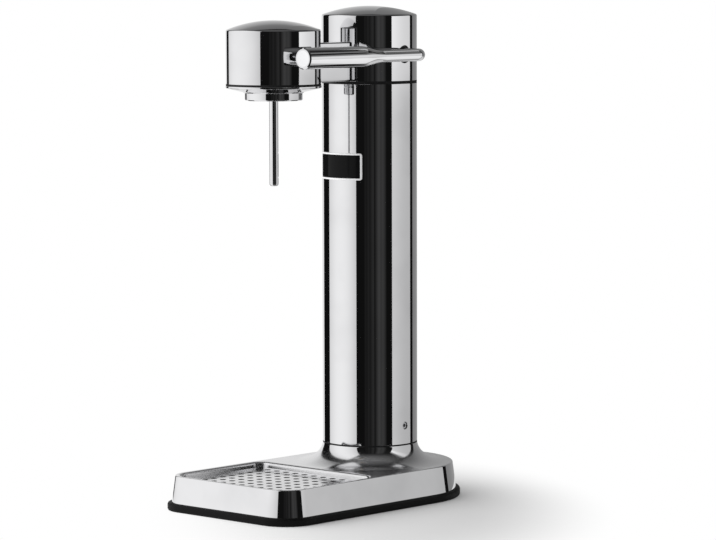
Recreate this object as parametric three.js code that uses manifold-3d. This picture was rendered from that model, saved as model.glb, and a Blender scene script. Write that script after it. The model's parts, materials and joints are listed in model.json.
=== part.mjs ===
// A countertop sparkling water maker in polished steel, as an assembly of its separate pieces.
// A round column stands on a flared base with a sunk drip tray. A cap closes the column, and a short
// bridge carries the dispensing head out over the tray. The lever on the side turns a cam inside the
// cap, which presses a plunger on the gas cylinder's valve, and a spring lifts both again.
// Millimetres, +Z up, the front towards -Y and the lever on the +X side.
// The origin is under the middle of the base, on the surface that it stands on.

import * as THREE from 'three'
import { mergeVertices } from 'three/addons/utils/BufferGeometryUtils.js'
import Module from 'manifold-3d'

const wasm = await Module()
wasm.setup()

// Overall sizes
const OVERALL_HEIGHT = 414
const BASE_WIDTH = 153
const BASE_DEPTH = 258
const COLUMN_RADIUS = 40
const HEAD_RADIUS = 39
const HEAD_REACH = 116
const CAP_HEIGHT = 63
const HEAD_HEIGHT = 52.5
const LEVER_RISE = 23

// Clearances and shared walls
const GAP = 0.3
const OVERRUN = 2
const SEAM = 0.8
const TUBE_WALL = 1.6
const SHELL_WALL = 2.2

// Base and rubber foot
const FOOT_HEIGHT = 6.6
const FOOT_WIDTH = 12
const FOOT_PROUD = 3.5
const FOOT_CHAMFER = 1.2
const FOOT_TOP_CHAMFER = 1.8
const BASE_SHELL_HEIGHT = 22.1
const BASE_DRAFT = 2.9
const BASE_EDGE = 0.9
const BASE_CORNER_RADIUS = 27
const COLLAR_RISE = 16.8
const FLARE_FOOT_RADIUS = 63
const FLARE_SHARES = [[0.03, 0.52], [0.38, 0.08]]

// Tray recess and grid
const TRAY_RIM = 2.4
const TRAY_TO_FLARE = 1.6
const TRAY_BACK_CORNER = 12
const TRAY_WALL_DRAFT = 2.3
const TRAY_DEPTH = 6.4
const LEDGE_WIDTH = 2.7
const SUMP_DEPTH = 10.3
const SUMP_WALL = 2
const GRID_THICKNESS = 1.5
const HOLE_RADIUS = 2.5
const HOLE_PITCH = 10.7
const HOLE_SIDE_MARGIN = 15
const HOLE_END_MARGIN = 7.5

// Base plate, its sleeve and its screws
const PLATE_THICKNESS = 2.5
const PLATE_HOLE_RADIUS = 34
const SLEEVE_WALL = 2
const BOSS_RADIUS = 4.5
const SCREW_RADIUS = 1.5
const SCREW_HEAD_RADIUS = 3
const SCREW_HEAD_HEIGHT = 1.8
const PLATE_SCREW_LENGTH = 12
const PLATE_SCREW_MARGIN = 2
const FRONT_SCREW_BACKSET = 19.8
const SCREWS_PER_RING = 3
const REAR_SCREW_ANGLE = Math.PI / 2
const HEAD_SCREW_ANGLE = Math.PI / 6

// Spigot that joins the base and the column
const SPIGOT_WALL = 6.1
const SPIGOT_RISE = 34
const SPIGOT_FLANGE_RADIUS = 50
const SPIGOT_FLANGE_THICKNESS = 4
const SPIGOT_SCREW_CIRCLE = 44.5
const SPIGOT_SCREW_LENGTH = 9.5
const SET_SCREW_RISE = 15.7
const SET_SCREW_RADIUS = 2.95
const SET_SCREW_LENGTH = 6.5
const SET_SCREW_SINK = 1
const HEX_SOCKET_RADIUS = 1.6
const HEX_SOCKET_DEPTH = 2.5

// Badge plate on the column
const BADGE_DROP = 69.5
const BADGE_HEIGHT = 22.4
const BADGE_WIDTH = 46
const BADGE_CORNER_RADIUS = 2
const BADGE_BORDER = 1.3
const BADGE_THICKNESS = 1
const BADGE_PLATE_THICKNESS = 0.6

// Gas cylinder and its valve
const CYLINDER_RADIUS = 30
const CYLINDER_WALL = 2.4
const CYLINDER_LIFT = 6
const CYLINDER_FOOT_RADIUS = 4
const CYLINDER_DISH = 5
const SHOULDER_HEIGHT = 34
const NECK_RADIUS = 13
const NECK_HEIGHT = 8
const NECK_BORE_RADIUS = 6
const THREAD_RADIUS = 10.2
const THREAD_LENGTH = 13
const HEX_RADIUS = 12.5
const HEX_HEIGHT = 10
const PIN_RADIUS = 1.4
const PIN_SPARE_RISE = 0.4
const PIN_LENGTH = 8

// Valve block, seal, plunger and spring
const BLOCK_RADIUS = 18
const BLOCK_FLANGE_RADIUS = 24.5
const BLOCK_FLANGE_THICKNESS = 3
const BLOCK_ROOF = 6.2
const BLOCK_LIFT = 1.5
const BLOCK_SCREW_CIRCLE = 21.2
const BLOCK_SCREW_LENGTH = 7
const BLOCK_SCREW_HEAD_RADIUS = 2.4
const SEAL_THICKNESS = 2
const SEAL_BORE_RADIUS = 5
const STEM_RADIUS = 2.5
const PAD_RADIUS = 7
const PAD_THICKNESS = 2
const SPRING_LENGTH = 11
const SPRING_RADIUS = 4.6
const SPRING_WIRE_RADIUS = 0.55
const SPRING_TURNS = 4.5

// Lever, cam and bearings
const ROD_RADIUS = 5.1
const HANDLE_RADIUS = 8.7
const HANDLE_OFFSET = 63
const HANDLE_REACH = 147.6
const HANDLE_LENGTH = 80
const TAPER_LENGTH = 18
const BEND_RADIUS = 13
const HANDLE_CHAMFER = 0.8
const LEVER_TRAVEL_DEGREES = 45
const CAM_RADIUS = 7
const CAM_LIFT = 3
const CAM_HALF_WIDTH = 6
const POST_INNER = 22
const POST_THICKNESS = 8
const POST_HALF_WIDTH = 9.5
const BUSH_RADIUS = 7.2
const BUSH_SINK = 1.1
const CLIP_WIDTH = 1
const CLIP_RADIUS = 7.6
const GROOVE_DEPTH = 1.1
const SHAFT_END = 1.5

// Chassis in the cap, the bridge and the head
const FRAME_SPIGOT = 8
const BEAM_THICKNESS = 3.2
const BRIDGE_LIFT = 1
const BRIDGE_WIDTH = 29
const BRIDGE_HEIGHT = 32.7
const BRIDGE_WALL = 1.5
const BRIDGE_EDGE = 1.2

// Domes
const CAP_DOME = 7.2
const HEAD_DOME = 7.9
const SHOULDER_ROLL = 1.4

// Underside of the head, bottle collar and nozzle
const RING_HEIGHT = 5.8
const RING_RIM = 1.9
const RING_PROUD = 0.4
const RING_STEP = 0.7
const BOTTLE_COLLAR_RADIUS = 23.8
const BOTTLE_COLLAR_DROP = 6.2
const BOTTLE_COLLAR_EDGE = 0.8
const BOTTLE_BORE_RADIUS = 19.5
const COLLAR_SLEEVE_WALL = 2.5
const COLLAR_ROOF = 4
const BOTTLE_SEAL_THICKNESS = 2.4
const BOTTLE_SEAL_WIDTH = 7
const NUT_HEIGHT = 4
const NUT_WALL = 5.7
const HEAD_SCREW_CIRCLE = 31.5
const HEAD_SCREW_LENGTH = 8.8
const NOZZLE_RADIUS = 3.75
const NOZZLE_WALL = 1.5
const NOZZLE_DROP = 70.2
const NOZZLE_ORIFICE_RADIUS = 0.8
const BODY_RADIUS = 14
const BODY_HEIGHT = 20
const BODY_SPIGOT_WALL = 1.95
const BODY_SPIGOT_LENGTH = 8
const NOZZLE_SEAT = 14
const RELIEF_RADIUS = 6
const RELIEF_HEIGHT = 13
const PIPE_RADIUS = 2
const PIPE_OFFSET = 14
const PIPE_RISE = 14
const PIPE_BEND = 6
const PIPE_SOCKET = 3.5

// Steps of the round forms
const COLUMN_STEPS = 36
const PART_STEPS = 20
const SMALL_STEPS = 10
const SCREW_STEPS = 8
const ARC_STEPS = 6
const DOME_STEPS = 5
const LINING_STEPS = 2
const SHOULDER_STEPS = 4
const REAR_STEPS = 20
const FINE_STEPS = 7
const ROD_SIDES = 14
const PIPE_SIDES = 8
const WIRE_SIDES = 5
const COIL_STEPS = 8
const HEX_SIDES = 6

// Heights and places worked out from the sizes above
const BASE_TOP = FOOT_HEIGHT + BASE_SHELL_HEIGHT
const COLLAR_TOP = BASE_TOP + COLLAR_RISE
const COLUMN_BOTTOM = COLLAR_TOP + SEAM
const CAP_BOTTOM = OVERALL_HEIGHT - CAP_HEIGHT
const COLUMN_TOP = CAP_BOTTOM - SEAM
const CAP_SHOULDER = OVERALL_HEIGHT - CAP_DOME
const HEAD_APEX = CAP_BOTTOM + HEAD_HEIGHT
const HEAD_SHOULDER = HEAD_APEX - HEAD_DOME
const LEVER_Z = CAP_BOTTOM + LEVER_RISE
const COLUMN_BORE = COLUMN_RADIUS - TUBE_WALL
const INNER_RADIUS = COLUMN_BORE - GAP
const BASE_HALF_WIDTH = BASE_WIDTH / 2
const BASE_FRONT = BASE_DEPTH - BASE_HALF_WIDTH
const TOP_INSET = FOOT_PROUD + BASE_DRAFT + BASE_EDGE
const CEILING_Z = BASE_TOP - SHELL_WALL

const TRAY_HALF_WIDTH = BASE_HALF_WIDTH - TOP_INSET - TRAY_RIM
const TRAY_FRONT = BASE_FRONT - TOP_INSET - TRAY_RIM
const TRAY_BACK = FLARE_FOOT_RADIUS + TRAY_TO_FLARE
const TRAY_LENGTH = TRAY_FRONT - TRAY_BACK
const TRAY_FRONT_CORNER = BASE_CORNER_RADIUS - TOP_INSET - TRAY_RIM
const LEDGE_Z = BASE_TOP - TRAY_DEPTH
const SUMP_Z = LEDGE_Z - SUMP_DEPTH
const GRID_Z = LEDGE_Z + GAP
const GRID_INSET = TRAY_WALL_DRAFT + GAP

const PLATE_TOP = FOOT_HEIGHT + PLATE_THICKNESS
const SPIGOT_FLANGE_Z = CEILING_Z - SPIGOT_FLANGE_THICKNESS
const SPIGOT_BORE = INNER_RADIUS - SPIGOT_WALL
const SET_SCREW_Z = COLUMN_BOTTOM + SET_SCREW_RISE
const BADGE_Z = COLUMN_TOP - BADGE_DROP

const PLUNGER_TOP = LEVER_Z - CAM_RADIUS - GAP
const BLOCK_TOP = PLUNGER_TOP - PAD_THICKNESS - SPRING_LENGTH
const BLOCK_FLANGE_Z = BLOCK_TOP - BLOCK_FLANGE_THICKNESS
const BLOCK_CEILING = BLOCK_TOP - BLOCK_ROOF
const VALVE_TOP = BLOCK_CEILING - SEAL_THICKNESS - GAP
const PIN_TOP = VALVE_TOP + CAM_LIFT + PIN_SPARE_RISE
const THREAD_Z = VALVE_TOP - THREAD_LENGTH
const NECK_TOP = THREAD_Z - HEX_HEIGHT
const BLOCK_BOTTOM = THREAD_Z + BLOCK_LIFT

const BRIDGE_BOTTOM = CAP_BOTTOM + BRIDGE_LIFT
const BRIDGE_TOP = BRIDGE_BOTTOM + BRIDGE_HEIGHT
const BEAM_Z = BRIDGE_BOTTOM + BRIDGE_WALL + GAP
const FRAME_TOP = BEAM_Z + BEAM_THICKNESS
const RING_Z = COLUMN_TOP - RING_HEIGHT
const BOTTLE_COLLAR_Z = RING_Z - BOTTLE_COLLAR_DROP
const COLLAR_SLEEVE_RADIUS = BOTTLE_BORE_RADIUS + COLLAR_SLEEVE_WALL
const COLLAR_TOP_Z = FRAME_TOP + COLLAR_ROOF
const SOCKET_BORE = NOZZLE_RADIUS + GAP
const SOCKET_RADIUS = SOCKET_BORE + BODY_SPIGOT_WALL
const NOZZLE_TOP = COLLAR_TOP_Z + NOZZLE_SEAT
const PIPE_Z = BLOCK_TOP + PIPE_RISE
const POST_OUTER = POST_INNER + POST_THICKNESS
const CLIP_X = POST_OUTER + GAP
const LEVER_TRAVEL = THREE.MathUtils.degToRad(LEVER_TRAVEL_DEGREES)
const CAM_RATE = CAM_LIFT / LEVER_TRAVEL

// Finishes
const POLISHED_STEEL = { color: 0xd9dadc, roughness: 0.07, metalness: 1 }
const PLAIN_STEEL = { color: 0xa9abae, roughness: 0.35, metalness: 1 }
const CAST_ALUMINIUM = { color: 0xb3b5b7, roughness: 0.5, metalness: 1 }
const BRASS = { color: 0xc9a45a, roughness: 0.3, metalness: 1 }
const BLACK_RUBBER = { color: 0x0b0b0c, roughness: 0.75, metalness: 0 }
const BLACK_PLASTIC = { color: 0x131314, roughness: 0.5, metalness: 0 }
const BLACK_GLOSS = { color: 0x08080a, roughness: 0.15, metalness: 0 }
const CYLINDER_PAINT = { color: 0xc7ccd1, roughness: 0.4, metalness: 0.2 }

// Solids: from a closed geometry to a solid that can be cut and joined, and back

function solid(geometry) {
  const bare = new THREE.BufferGeometry()
  bare.setAttribute('position', geometry.getAttribute('position').clone())
  if (geometry.index) bare.setIndex(geometry.index.clone())
  const merged = mergeVertices(bare)
  const points = new Float32Array(merged.getAttribute('position').array)
  const corners = dropFlatFaces(Array.from(merged.index.array))
  if (signedVolume(points, corners) < 0) {
    for (let i = 0; i < corners.length; i += 3) {
      const kept = corners[i + 1]
      corners[i + 1] = corners[i + 2]
      corners[i + 2] = kept
    }
  }
  const triVerts = new Uint32Array(corners)
  return new wasm.Manifold(new wasm.Mesh({ numProp: 3, vertProperties: points, triVerts }))
}

function dropFlatFaces(corners) {
  const kept = []
  for (let i = 0; i < corners.length; i += 3) {
    const [a, b, c] = corners.slice(i, i + 3)
    if (a !== b && b !== c && c !== a) kept.push(a, b, c)
  }
  return kept
}

function signedVolume(points, corners) {
  const [a, b, c] = [new THREE.Vector3(), new THREE.Vector3(), new THREE.Vector3()]
  let total = 0
  for (let i = 0; i < corners.length; i += 3) {
    a.fromArray(points, 3 * corners[i])
    b.fromArray(points, 3 * corners[i + 1])
    c.fromArray(points, 3 * corners[i + 2])
    total += a.dot(b.cross(c))
  }
  return total
}

function asGeometry(shape) {
  const mesh = shape.getMesh()
  const geometry = new THREE.BufferGeometry()
  geometry.setAttribute('position', new THREE.BufferAttribute(new Float32Array(mesh.vertProperties), 3))
  geometry.setIndex(new THREE.BufferAttribute(new Uint32Array(mesh.triVerts), 1))
  geometry.computeVertexNormals()
  return geometry
}

function cut(shape, ...tools) {
  return tools.reduce((rest, tool) => rest.subtract(tool), shape)
}

function join(shape, ...others) {
  return others.reduce((sum, other) => sum.add(other), shape)
}

function moved(shape, x, y, z) {
  return shape.translate([x, y, z])
}

// Forms that the pieces share

function turned(profile, steps) {
  const points = profile.map(([radius, z]) => new THREE.Vector2(radius, z))
  return solid(new THREE.LatheGeometry(points, steps).rotateX(Math.PI / 2))
}

function disc(radius, low, high, steps = PART_STEPS) {
  return turned([[0, low], [radius, low], [radius, high], [0, high]], steps)
}

function sleeve(inner, outer, low, high, steps = PART_STEPS) {
  return turned([[inner, low], [outer, low], [outer, high], [inner, high], [inner, low]], steps)
}

function crossBar(radius, from, to, z, steps = SMALL_STEPS) {
  const bar = new THREE.CylinderGeometry(radius, radius, to - from, steps)
  return solid(bar.rotateZ(Math.PI / 2).translate((from + to) / 2, 0, z))
}

function box(lowX, highX, lowY, highY, lowZ, highZ) {
  const block = new THREE.BoxGeometry(highX - lowX, highY - lowY, highZ - lowZ)
  return solid(block.translate((lowX + highX) / 2, (lowY + highY) / 2, (lowZ + highZ) / 2))
}

function skinned(rings, closed) {
  const sides = rings[0].length
  const points = rings.flat()
  const corners = []
  const spans = closed ? rings.length : rings.length - 1
  for (let i = 0; i < spans; i++) {
    const here = i * sides
    const next = ((i + 1) % rings.length) * sides
    for (let j = 0; j < sides; j++) {
      const k = (j + 1) % sides
      corners.push(here + j, here + k, next + k, here + j, next + k, next + j)
    }
  }
  if (!closed) {
    const last = (rings.length - 1) * sides
    for (let j = 1; j < sides - 1; j++) {
      corners.push(0, j + 1, j, last, last + j, last + j + 1)
    }
  }
  const geometry = new THREE.BufferGeometry().setFromPoints(points)
  geometry.setIndex(corners)
  return solid(geometry)
}

function arcPoints(centreX, centreY, radius, from, to, steps) {
  const points = []
  for (let i = 0; i <= steps; i++) {
    const angle = from + (to - from) * i / steps
    points.push(new THREE.Vector2(centreX + radius * Math.cos(angle), centreY + radius * Math.sin(angle)))
  }
  return points
}

// The base's outline: a half circle round the column, straight sides and rounded front corners
function baseOutline(inset) {
  const corner = BASE_CORNER_RADIUS - inset
  const side = BASE_HALF_WIDTH - BASE_CORNER_RADIUS
  const front = -(BASE_FRONT - BASE_CORNER_RADIUS)
  return [
    ...arcPoints(0, 0, BASE_HALF_WIDTH - inset, 0, Math.PI, REAR_STEPS),
    ...arcPoints(-side, front, corner, Math.PI, 1.5 * Math.PI, ARC_STEPS),
    ...arcPoints(side, front, corner, 1.5 * Math.PI, 2 * Math.PI, ARC_STEPS),
  ]
}

function trayOutline(inset) {
  const frontCorner = TRAY_FRONT_CORNER - inset
  const backCorner = TRAY_BACK_CORNER - inset
  const frontX = TRAY_HALF_WIDTH - TRAY_FRONT_CORNER
  const backX = TRAY_HALF_WIDTH - TRAY_BACK_CORNER
  const frontY = -(TRAY_FRONT - TRAY_FRONT_CORNER)
  const backY = -(TRAY_BACK + TRAY_BACK_CORNER)
  return [
    ...arcPoints(backX, backY, backCorner, 0, Math.PI / 2, ARC_STEPS),
    ...arcPoints(-backX, backY, backCorner, Math.PI / 2, Math.PI, ARC_STEPS),
    ...arcPoints(-frontX, frontY, frontCorner, Math.PI, 1.5 * Math.PI, ARC_STEPS),
    ...arcPoints(frontX, frontY, frontCorner, 1.5 * Math.PI, 2 * Math.PI, ARC_STEPS),
  ]
}

// A solid through one outline at several insets and heights
function stacked(outline, levels) {
  const rings = levels.map(([inset, z]) => outline(inset).map((p) => new THREE.Vector3(p.x, p.y, z)))
  return skinned(rings, false)
}

// A ring with one closed section all along an outline
function ringed(outline, section) {
  const rings = section.map(([inset, z]) => outline(inset).map((p) => new THREE.Vector3(p.x, p.y, z)))
  return skinned(rings, true)
}

// A rod of changing radius along a path in one plane; across is the plane's normal
function swept(stations, across, sides) {
  const rings = stations.map(({ at, side, radius }) => {
    const ring = []
    for (let j = 0; j < sides; j++) {
      const angle = 2 * Math.PI * j / sides
      const out = side.clone().multiplyScalar(radius * Math.cos(angle))
      ring.push(at.clone().add(out).addScaledVector(across, radius * Math.sin(angle)))
    }
    return ring
  })
  return skinned(rings, false)
}

// The outside of a domed cap, from its bottom edge to its apex
function domeProfile(radius, bottom, shoulder, apex, steps) {
  const rise = apex - shoulder
  const sphere = (radius * radius + rise * rise) / (2 * rise)
  const reach = Math.asin((radius - SHOULDER_ROLL) / sphere)
  const profile = [[radius, bottom], [radius, shoulder - SHOULDER_ROLL]]
  for (let i = 0; i <= steps; i++) {
    const angle = reach * (1 - i / steps)
    profile.push([sphere * Math.sin(angle), apex - sphere * (1 - Math.cos(angle))])
  }
  return profile
}

function domedShell(radius, bottom, shoulder, apex) {
  const outside = domeProfile(radius, bottom, shoulder, apex, DOME_STEPS)
  const inside = domeProfile(radius - TUBE_WALL, bottom, shoulder - TUBE_WALL, apex - TUBE_WALL, LINING_STEPS)
  return turned([...inside.reverse(), ...outside], COLUMN_STEPS)
}

function roundedRectangle(halfWidth, halfHeight, corner) {
  return [
    ...arcPoints(halfWidth - corner, halfHeight - corner, corner, 0, Math.PI / 2, ARC_STEPS / 2),
    ...arcPoints(-halfWidth + corner, halfHeight - corner, corner, Math.PI / 2, Math.PI, ARC_STEPS / 2),
    ...arcPoints(-halfWidth + corner, -halfHeight + corner, corner, Math.PI, 1.5 * Math.PI, ARC_STEPS / 2),
    ...arcPoints(halfWidth - corner, -halfHeight + corner, corner, 1.5 * Math.PI, 2 * Math.PI, ARC_STEPS / 2),
  ]
}

// A rounded bar that runs from front to back, centred on the given height
function barAlongY(halfWidth, halfHeight, corner, z, fromY, toY) {
  const outline = roundedRectangle(halfWidth, halfHeight, corner)
  const ends = [fromY, toY].map((y) => outline.map((p) => new THREE.Vector3(p.x, y, z + p.y)))
  return skinned(ends, false)
}

// A screw that points up from under its head
function screw(headRadius, length) {
  return turned([
    [0, -SCREW_HEAD_HEIGHT],
    [headRadius, -SCREW_HEAD_HEIGHT],
    [headRadius, 0],
    [SCREW_RADIUS, 0],
    [SCREW_RADIUS, length],
    [0, length],
  ], SCREW_STEPS)
}

function screwHole(x, y, seatZ, endZ) {
  return moved(disc(SCREW_RADIUS + GAP, Math.min(seatZ, endZ), Math.max(seatZ, endZ), SMALL_STEPS), x, y, 0)
}

// Places of one ring's screws, evenly round a circle from the first one's angle
function ringPlaces(radius, firstAngle) {
  return Array.from({ length: SCREWS_PER_RING }, (_, i) => {
    const angle = firstAngle + 2 * Math.PI * i / SCREWS_PER_RING
    return [radius * Math.cos(angle), radius * Math.sin(angle)]
  })
}

// Places of the screws

const REAR_SCREW_RADIUS = BASE_HALF_WIDTH - FOOT_WIDTH - SCREW_HEAD_RADIUS - PLATE_SCREW_MARGIN
const PLATE_SCREWS = [
  [REAR_SCREW_RADIUS * Math.SQRT1_2, REAR_SCREW_RADIUS * Math.SQRT1_2],
  [-REAR_SCREW_RADIUS * Math.SQRT1_2, REAR_SCREW_RADIUS * Math.SQRT1_2],
  [REAR_SCREW_RADIUS, FRONT_SCREW_BACKSET - TRAY_BACK],
  [-REAR_SCREW_RADIUS, FRONT_SCREW_BACKSET - TRAY_BACK],
]
const SPIGOT_SCREWS = ringPlaces(SPIGOT_SCREW_CIRCLE, REAR_SCREW_ANGLE)
const BLOCK_SCREWS = ringPlaces(BLOCK_SCREW_CIRCLE, REAR_SCREW_ANGLE)
const HEAD_SCREWS = ringPlaces(HEAD_SCREW_CIRCLE, HEAD_SCREW_ANGLE)

// Base

// The side of the flare, from its foot on the base's top up to the column
function flareProfile() {
  const across = FLARE_FOOT_RADIUS - COLUMN_RADIUS
  const handles = FLARE_SHARES.map(([out, up]) =>
    new THREE.Vector2(COLUMN_RADIUS + out * across, BASE_TOP + up * COLLAR_RISE))
  const curve = new THREE.CubicBezierCurve(
    new THREE.Vector2(COLUMN_RADIUS, COLLAR_TOP),
    ...handles,
    new THREE.Vector2(FLARE_FOOT_RADIUS, BASE_TOP),
  )
  return curve.getPoints(FINE_STEPS).reverse().map((p) => [p.x, p.y])
}

function makeBaseShell() {
  const outer = stacked(baseOutline, [
    [FOOT_PROUD, FOOT_HEIGHT],
    [FOOT_PROUD + BASE_DRAFT, BASE_TOP - BASE_EDGE],
    [FOOT_PROUD + BASE_DRAFT + BASE_EDGE * (1 - Math.SQRT1_2), BASE_TOP - BASE_EDGE * (1 - Math.SQRT1_2)],
    [TOP_INSET, BASE_TOP],
  ])
  const flareOutline = [[0, CEILING_Z], [FLARE_FOOT_RADIUS, CEILING_Z], ...flareProfile(), [0, COLLAR_TOP]]
  const flare = turned(flareOutline, COLUMN_STEPS)
  const tub = stacked(trayOutline, [[LEDGE_WIDTH - SUMP_WALL, SUMP_Z - SUMP_WALL], [-SUMP_WALL, BASE_TOP]])
  const boss = disc(BOSS_RADIUS, PLATE_TOP, CEILING_Z, SMALL_STEPS)
  const bosses = PLATE_SCREWS.map(([x, y]) => moved(boss, x, y, 0))
  const cavity = stacked(baseOutline, [
    [FOOT_PROUD + SHELL_WALL, FOOT_HEIGHT - OVERRUN],
    [FOOT_PROUD + SHELL_WALL, FOOT_HEIGHT],
    [FOOT_PROUD + BASE_DRAFT + SHELL_WALL, CEILING_Z],
  ])
  const seat = stacked(trayOutline, [[TRAY_WALL_DRAFT, LEDGE_Z], [0, BASE_TOP], [0, BASE_TOP + OVERRUN]])
  const sumpInset = TRAY_WALL_DRAFT + LEDGE_WIDTH
  const sump = stacked(trayOutline, [[sumpInset, SUMP_Z], [sumpInset, LEDGE_Z + OVERRUN]])
  const bore = disc(COLUMN_BORE, FOOT_HEIGHT, COLLAR_TOP + OVERRUN, COLUMN_STEPS)
  const shell = cut(join(outer, flare), cut(cavity, tub, ...bosses), seat, sump, bore)
  const bossEnd = FOOT_HEIGHT + PLATE_SCREW_LENGTH + GAP
  const plateHoles = PLATE_SCREWS.map(([x, y]) => screwHole(x, y, FOOT_HEIGHT, bossEnd))
  const flangeEnd = SPIGOT_FLANGE_Z + SPIGOT_SCREW_LENGTH + GAP
  const flangeHoles = SPIGOT_SCREWS.map(([x, y]) => screwHole(x, y, SPIGOT_FLANGE_Z, flangeEnd))
  return cut(shell, ...plateHoles, ...flangeHoles)
}

function makeRubberFoot() {
  return ringed(baseOutline, [
    [FOOT_CHAMFER / 2, 0],
    [0, FOOT_CHAMFER],
    [0, FOOT_HEIGHT - FOOT_TOP_CHAMFER],
    [FOOT_TOP_CHAMFER / 3, FOOT_HEIGHT - FOOT_TOP_CHAMFER / 3],
    [FOOT_TOP_CHAMFER, FOOT_HEIGHT],
    [FOOT_WIDTH, FOOT_HEIGHT],
    [FOOT_WIDTH, 0],
  ])
}

function makeBasePlate() {
  const edge = FOOT_PROUD + SHELL_WALL + GAP
  const plate = stacked(baseOutline, [[edge, FOOT_HEIGHT], [edge + GAP, PLATE_TOP]])
  const collar = disc(PLATE_HOLE_RADIUS + SLEEVE_WALL, FOOT_HEIGHT, SPIGOT_FLANGE_Z - GAP)
  const opening = disc(PLATE_HOLE_RADIUS, FOOT_HEIGHT - OVERRUN, SPIGOT_FLANGE_Z)
  const holes = PLATE_SCREWS.map(([x, y]) => screwHole(x, y, FOOT_HEIGHT - OVERRUN, PLATE_TOP + OVERRUN))
  return cut(join(plate, collar), opening, ...holes)
}

function makeDripGrid() {
  const outline = new THREE.Shape(trayOutline(GRID_INSET))
  const width = 2 * (TRAY_HALF_WIDTH - GRID_INSET)
  const length = TRAY_LENGTH - 2 * GRID_INSET
  const columns = Math.floor((width - 2 * HOLE_SIDE_MARGIN) / HOLE_PITCH) + 1
  const rows = Math.floor((length - 2 * HOLE_END_MARGIN) / HOLE_PITCH) + 1
  const middleY = -(TRAY_BACK + TRAY_LENGTH / 2)
  for (let row = 0; row < rows; row++) {
    for (let column = 0; column < columns; column++) {
      const x = (column - (columns - 1) / 2) * HOLE_PITCH
      const y = middleY + (row - (rows - 1) / 2) * HOLE_PITCH
      outline.holes.push(new THREE.Path().absarc(x, y, HOLE_RADIUS, 0, 2 * Math.PI, true))
    }
  }
  const plate = new THREE.ExtrudeGeometry(outline, {
    depth: GRID_THICKNESS,
    bevelEnabled: false,
    curveSegments: ARC_STEPS / 2,
  })
  return solid(plate.translate(0, 0, GRID_Z))
}

function makeFootSpigot() {
  const ring = disc(INNER_RADIUS, SPIGOT_FLANGE_Z, COLUMN_BOTTOM + SPIGOT_RISE, COLUMN_STEPS)
  const flange = disc(SPIGOT_FLANGE_RADIUS, SPIGOT_FLANGE_Z, CEILING_Z, COLUMN_STEPS)
  const bore = disc(SPIGOT_BORE, SPIGOT_FLANGE_Z - OVERRUN, COLUMN_BOTTOM + SPIGOT_RISE + OVERRUN)
  const holes = SPIGOT_SCREWS.map(([x, y]) => screwHole(x, y, SPIGOT_FLANGE_Z - OVERRUN, CEILING_Z + OVERRUN))
  return cut(join(ring, flange), bore, ...holes, setScrewHole())
}

function setScrewHole() {
  return crossBar(SET_SCREW_RADIUS + GAP, SPIGOT_BORE - OVERRUN, COLUMN_RADIUS + OVERRUN, SET_SCREW_Z)
}

function makeSetScrew() {
  const outer = COLUMN_RADIUS - SET_SCREW_SINK
  const body = crossBar(SET_SCREW_RADIUS, outer - SET_SCREW_LENGTH, outer, SET_SCREW_Z)
  const socketEnd = outer - HEX_SOCKET_DEPTH
  const socket = crossBar(HEX_SOCKET_RADIUS, socketEnd, outer + OVERRUN, SET_SCREW_Z, HEX_SIDES)
  return cut(body, socket)
}

// Column

// The thin black ring that shows as a seam between two polished shells
function makeGasket(radius, low, high) {
  return sleeve(radius - TUBE_WALL, radius - GAP, low, high, COLUMN_STEPS)
}

function makeColumnTube() {
  const tube = sleeve(COLUMN_BORE, COLUMN_RADIUS, COLUMN_BOTTOM, COLUMN_TOP, COLUMN_STEPS)
  return cut(tube, setScrewHole())
}

function badgeBar(inset) {
  const corner = BADGE_CORNER_RADIUS - Math.min(inset, BADGE_CORNER_RADIUS / 2)
  const front = -COLUMN_RADIUS - OVERRUN
  return barAlongY(BADGE_WIDTH / 2 - inset, BADGE_HEIGHT / 2 - inset, corner, BADGE_Z, front, 0)
}

function badgeSleeve(thickness) {
  const inner = COLUMN_RADIUS + GAP
  return sleeve(inner, inner + thickness, BADGE_Z - BADGE_HEIGHT, BADGE_Z + BADGE_HEIGHT, COLUMN_STEPS)
}

function makeBadgeFrame() {
  return badgeSleeve(BADGE_THICKNESS).intersect(cut(badgeBar(0), badgeBar(BADGE_BORDER)))
}

function makeBadgePlate() {
  return badgeSleeve(BADGE_PLATE_THICKNESS).intersect(badgeBar(BADGE_BORDER + GAP))
}

function makeGasCylinder() {
  const foot = CYLINDER_LIFT
  const shoulder = NECK_TOP - NECK_HEIGHT - SHOULDER_HEIGHT
  const outside = [
    [0, foot + CYLINDER_DISH],
    [CYLINDER_RADIUS / 2, foot + CYLINDER_DISH * Math.SQRT1_2],
    [CYLINDER_RADIUS - 2 * CYLINDER_FOOT_RADIUS, foot],
    [CYLINDER_RADIUS - CYLINDER_FOOT_RADIUS, foot],
    [CYLINDER_RADIUS, foot + CYLINDER_FOOT_RADIUS],
    ...shoulderProfile(CYLINDER_RADIUS, NECK_RADIUS, shoulder, SHOULDER_HEIGHT),
    [NECK_RADIUS, NECK_TOP],
  ]
  const inner = CYLINDER_RADIUS - CYLINDER_WALL
  const floor = foot + CYLINDER_DISH + CYLINDER_WALL
  const inside = [
    [NECK_BORE_RADIUS, NECK_TOP],
    ...shoulderProfile(inner, NECK_BORE_RADIUS, shoulder, SHOULDER_HEIGHT).reverse(),
    [inner, floor],
    [0, floor],
  ]
  return turned([...outside, ...inside], PART_STEPS)
}

// A quarter of an ellipse from the cylinder's side in to its neck
function shoulderProfile(radius, neck, z, height) {
  const profile = []
  for (let i = 0; i <= SHOULDER_STEPS; i++) {
    const angle = Math.PI / 2 * i / SHOULDER_STEPS
    profile.push([neck + (radius - neck) * Math.cos(angle), z + height * Math.sin(angle)])
  }
  return profile
}

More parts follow.
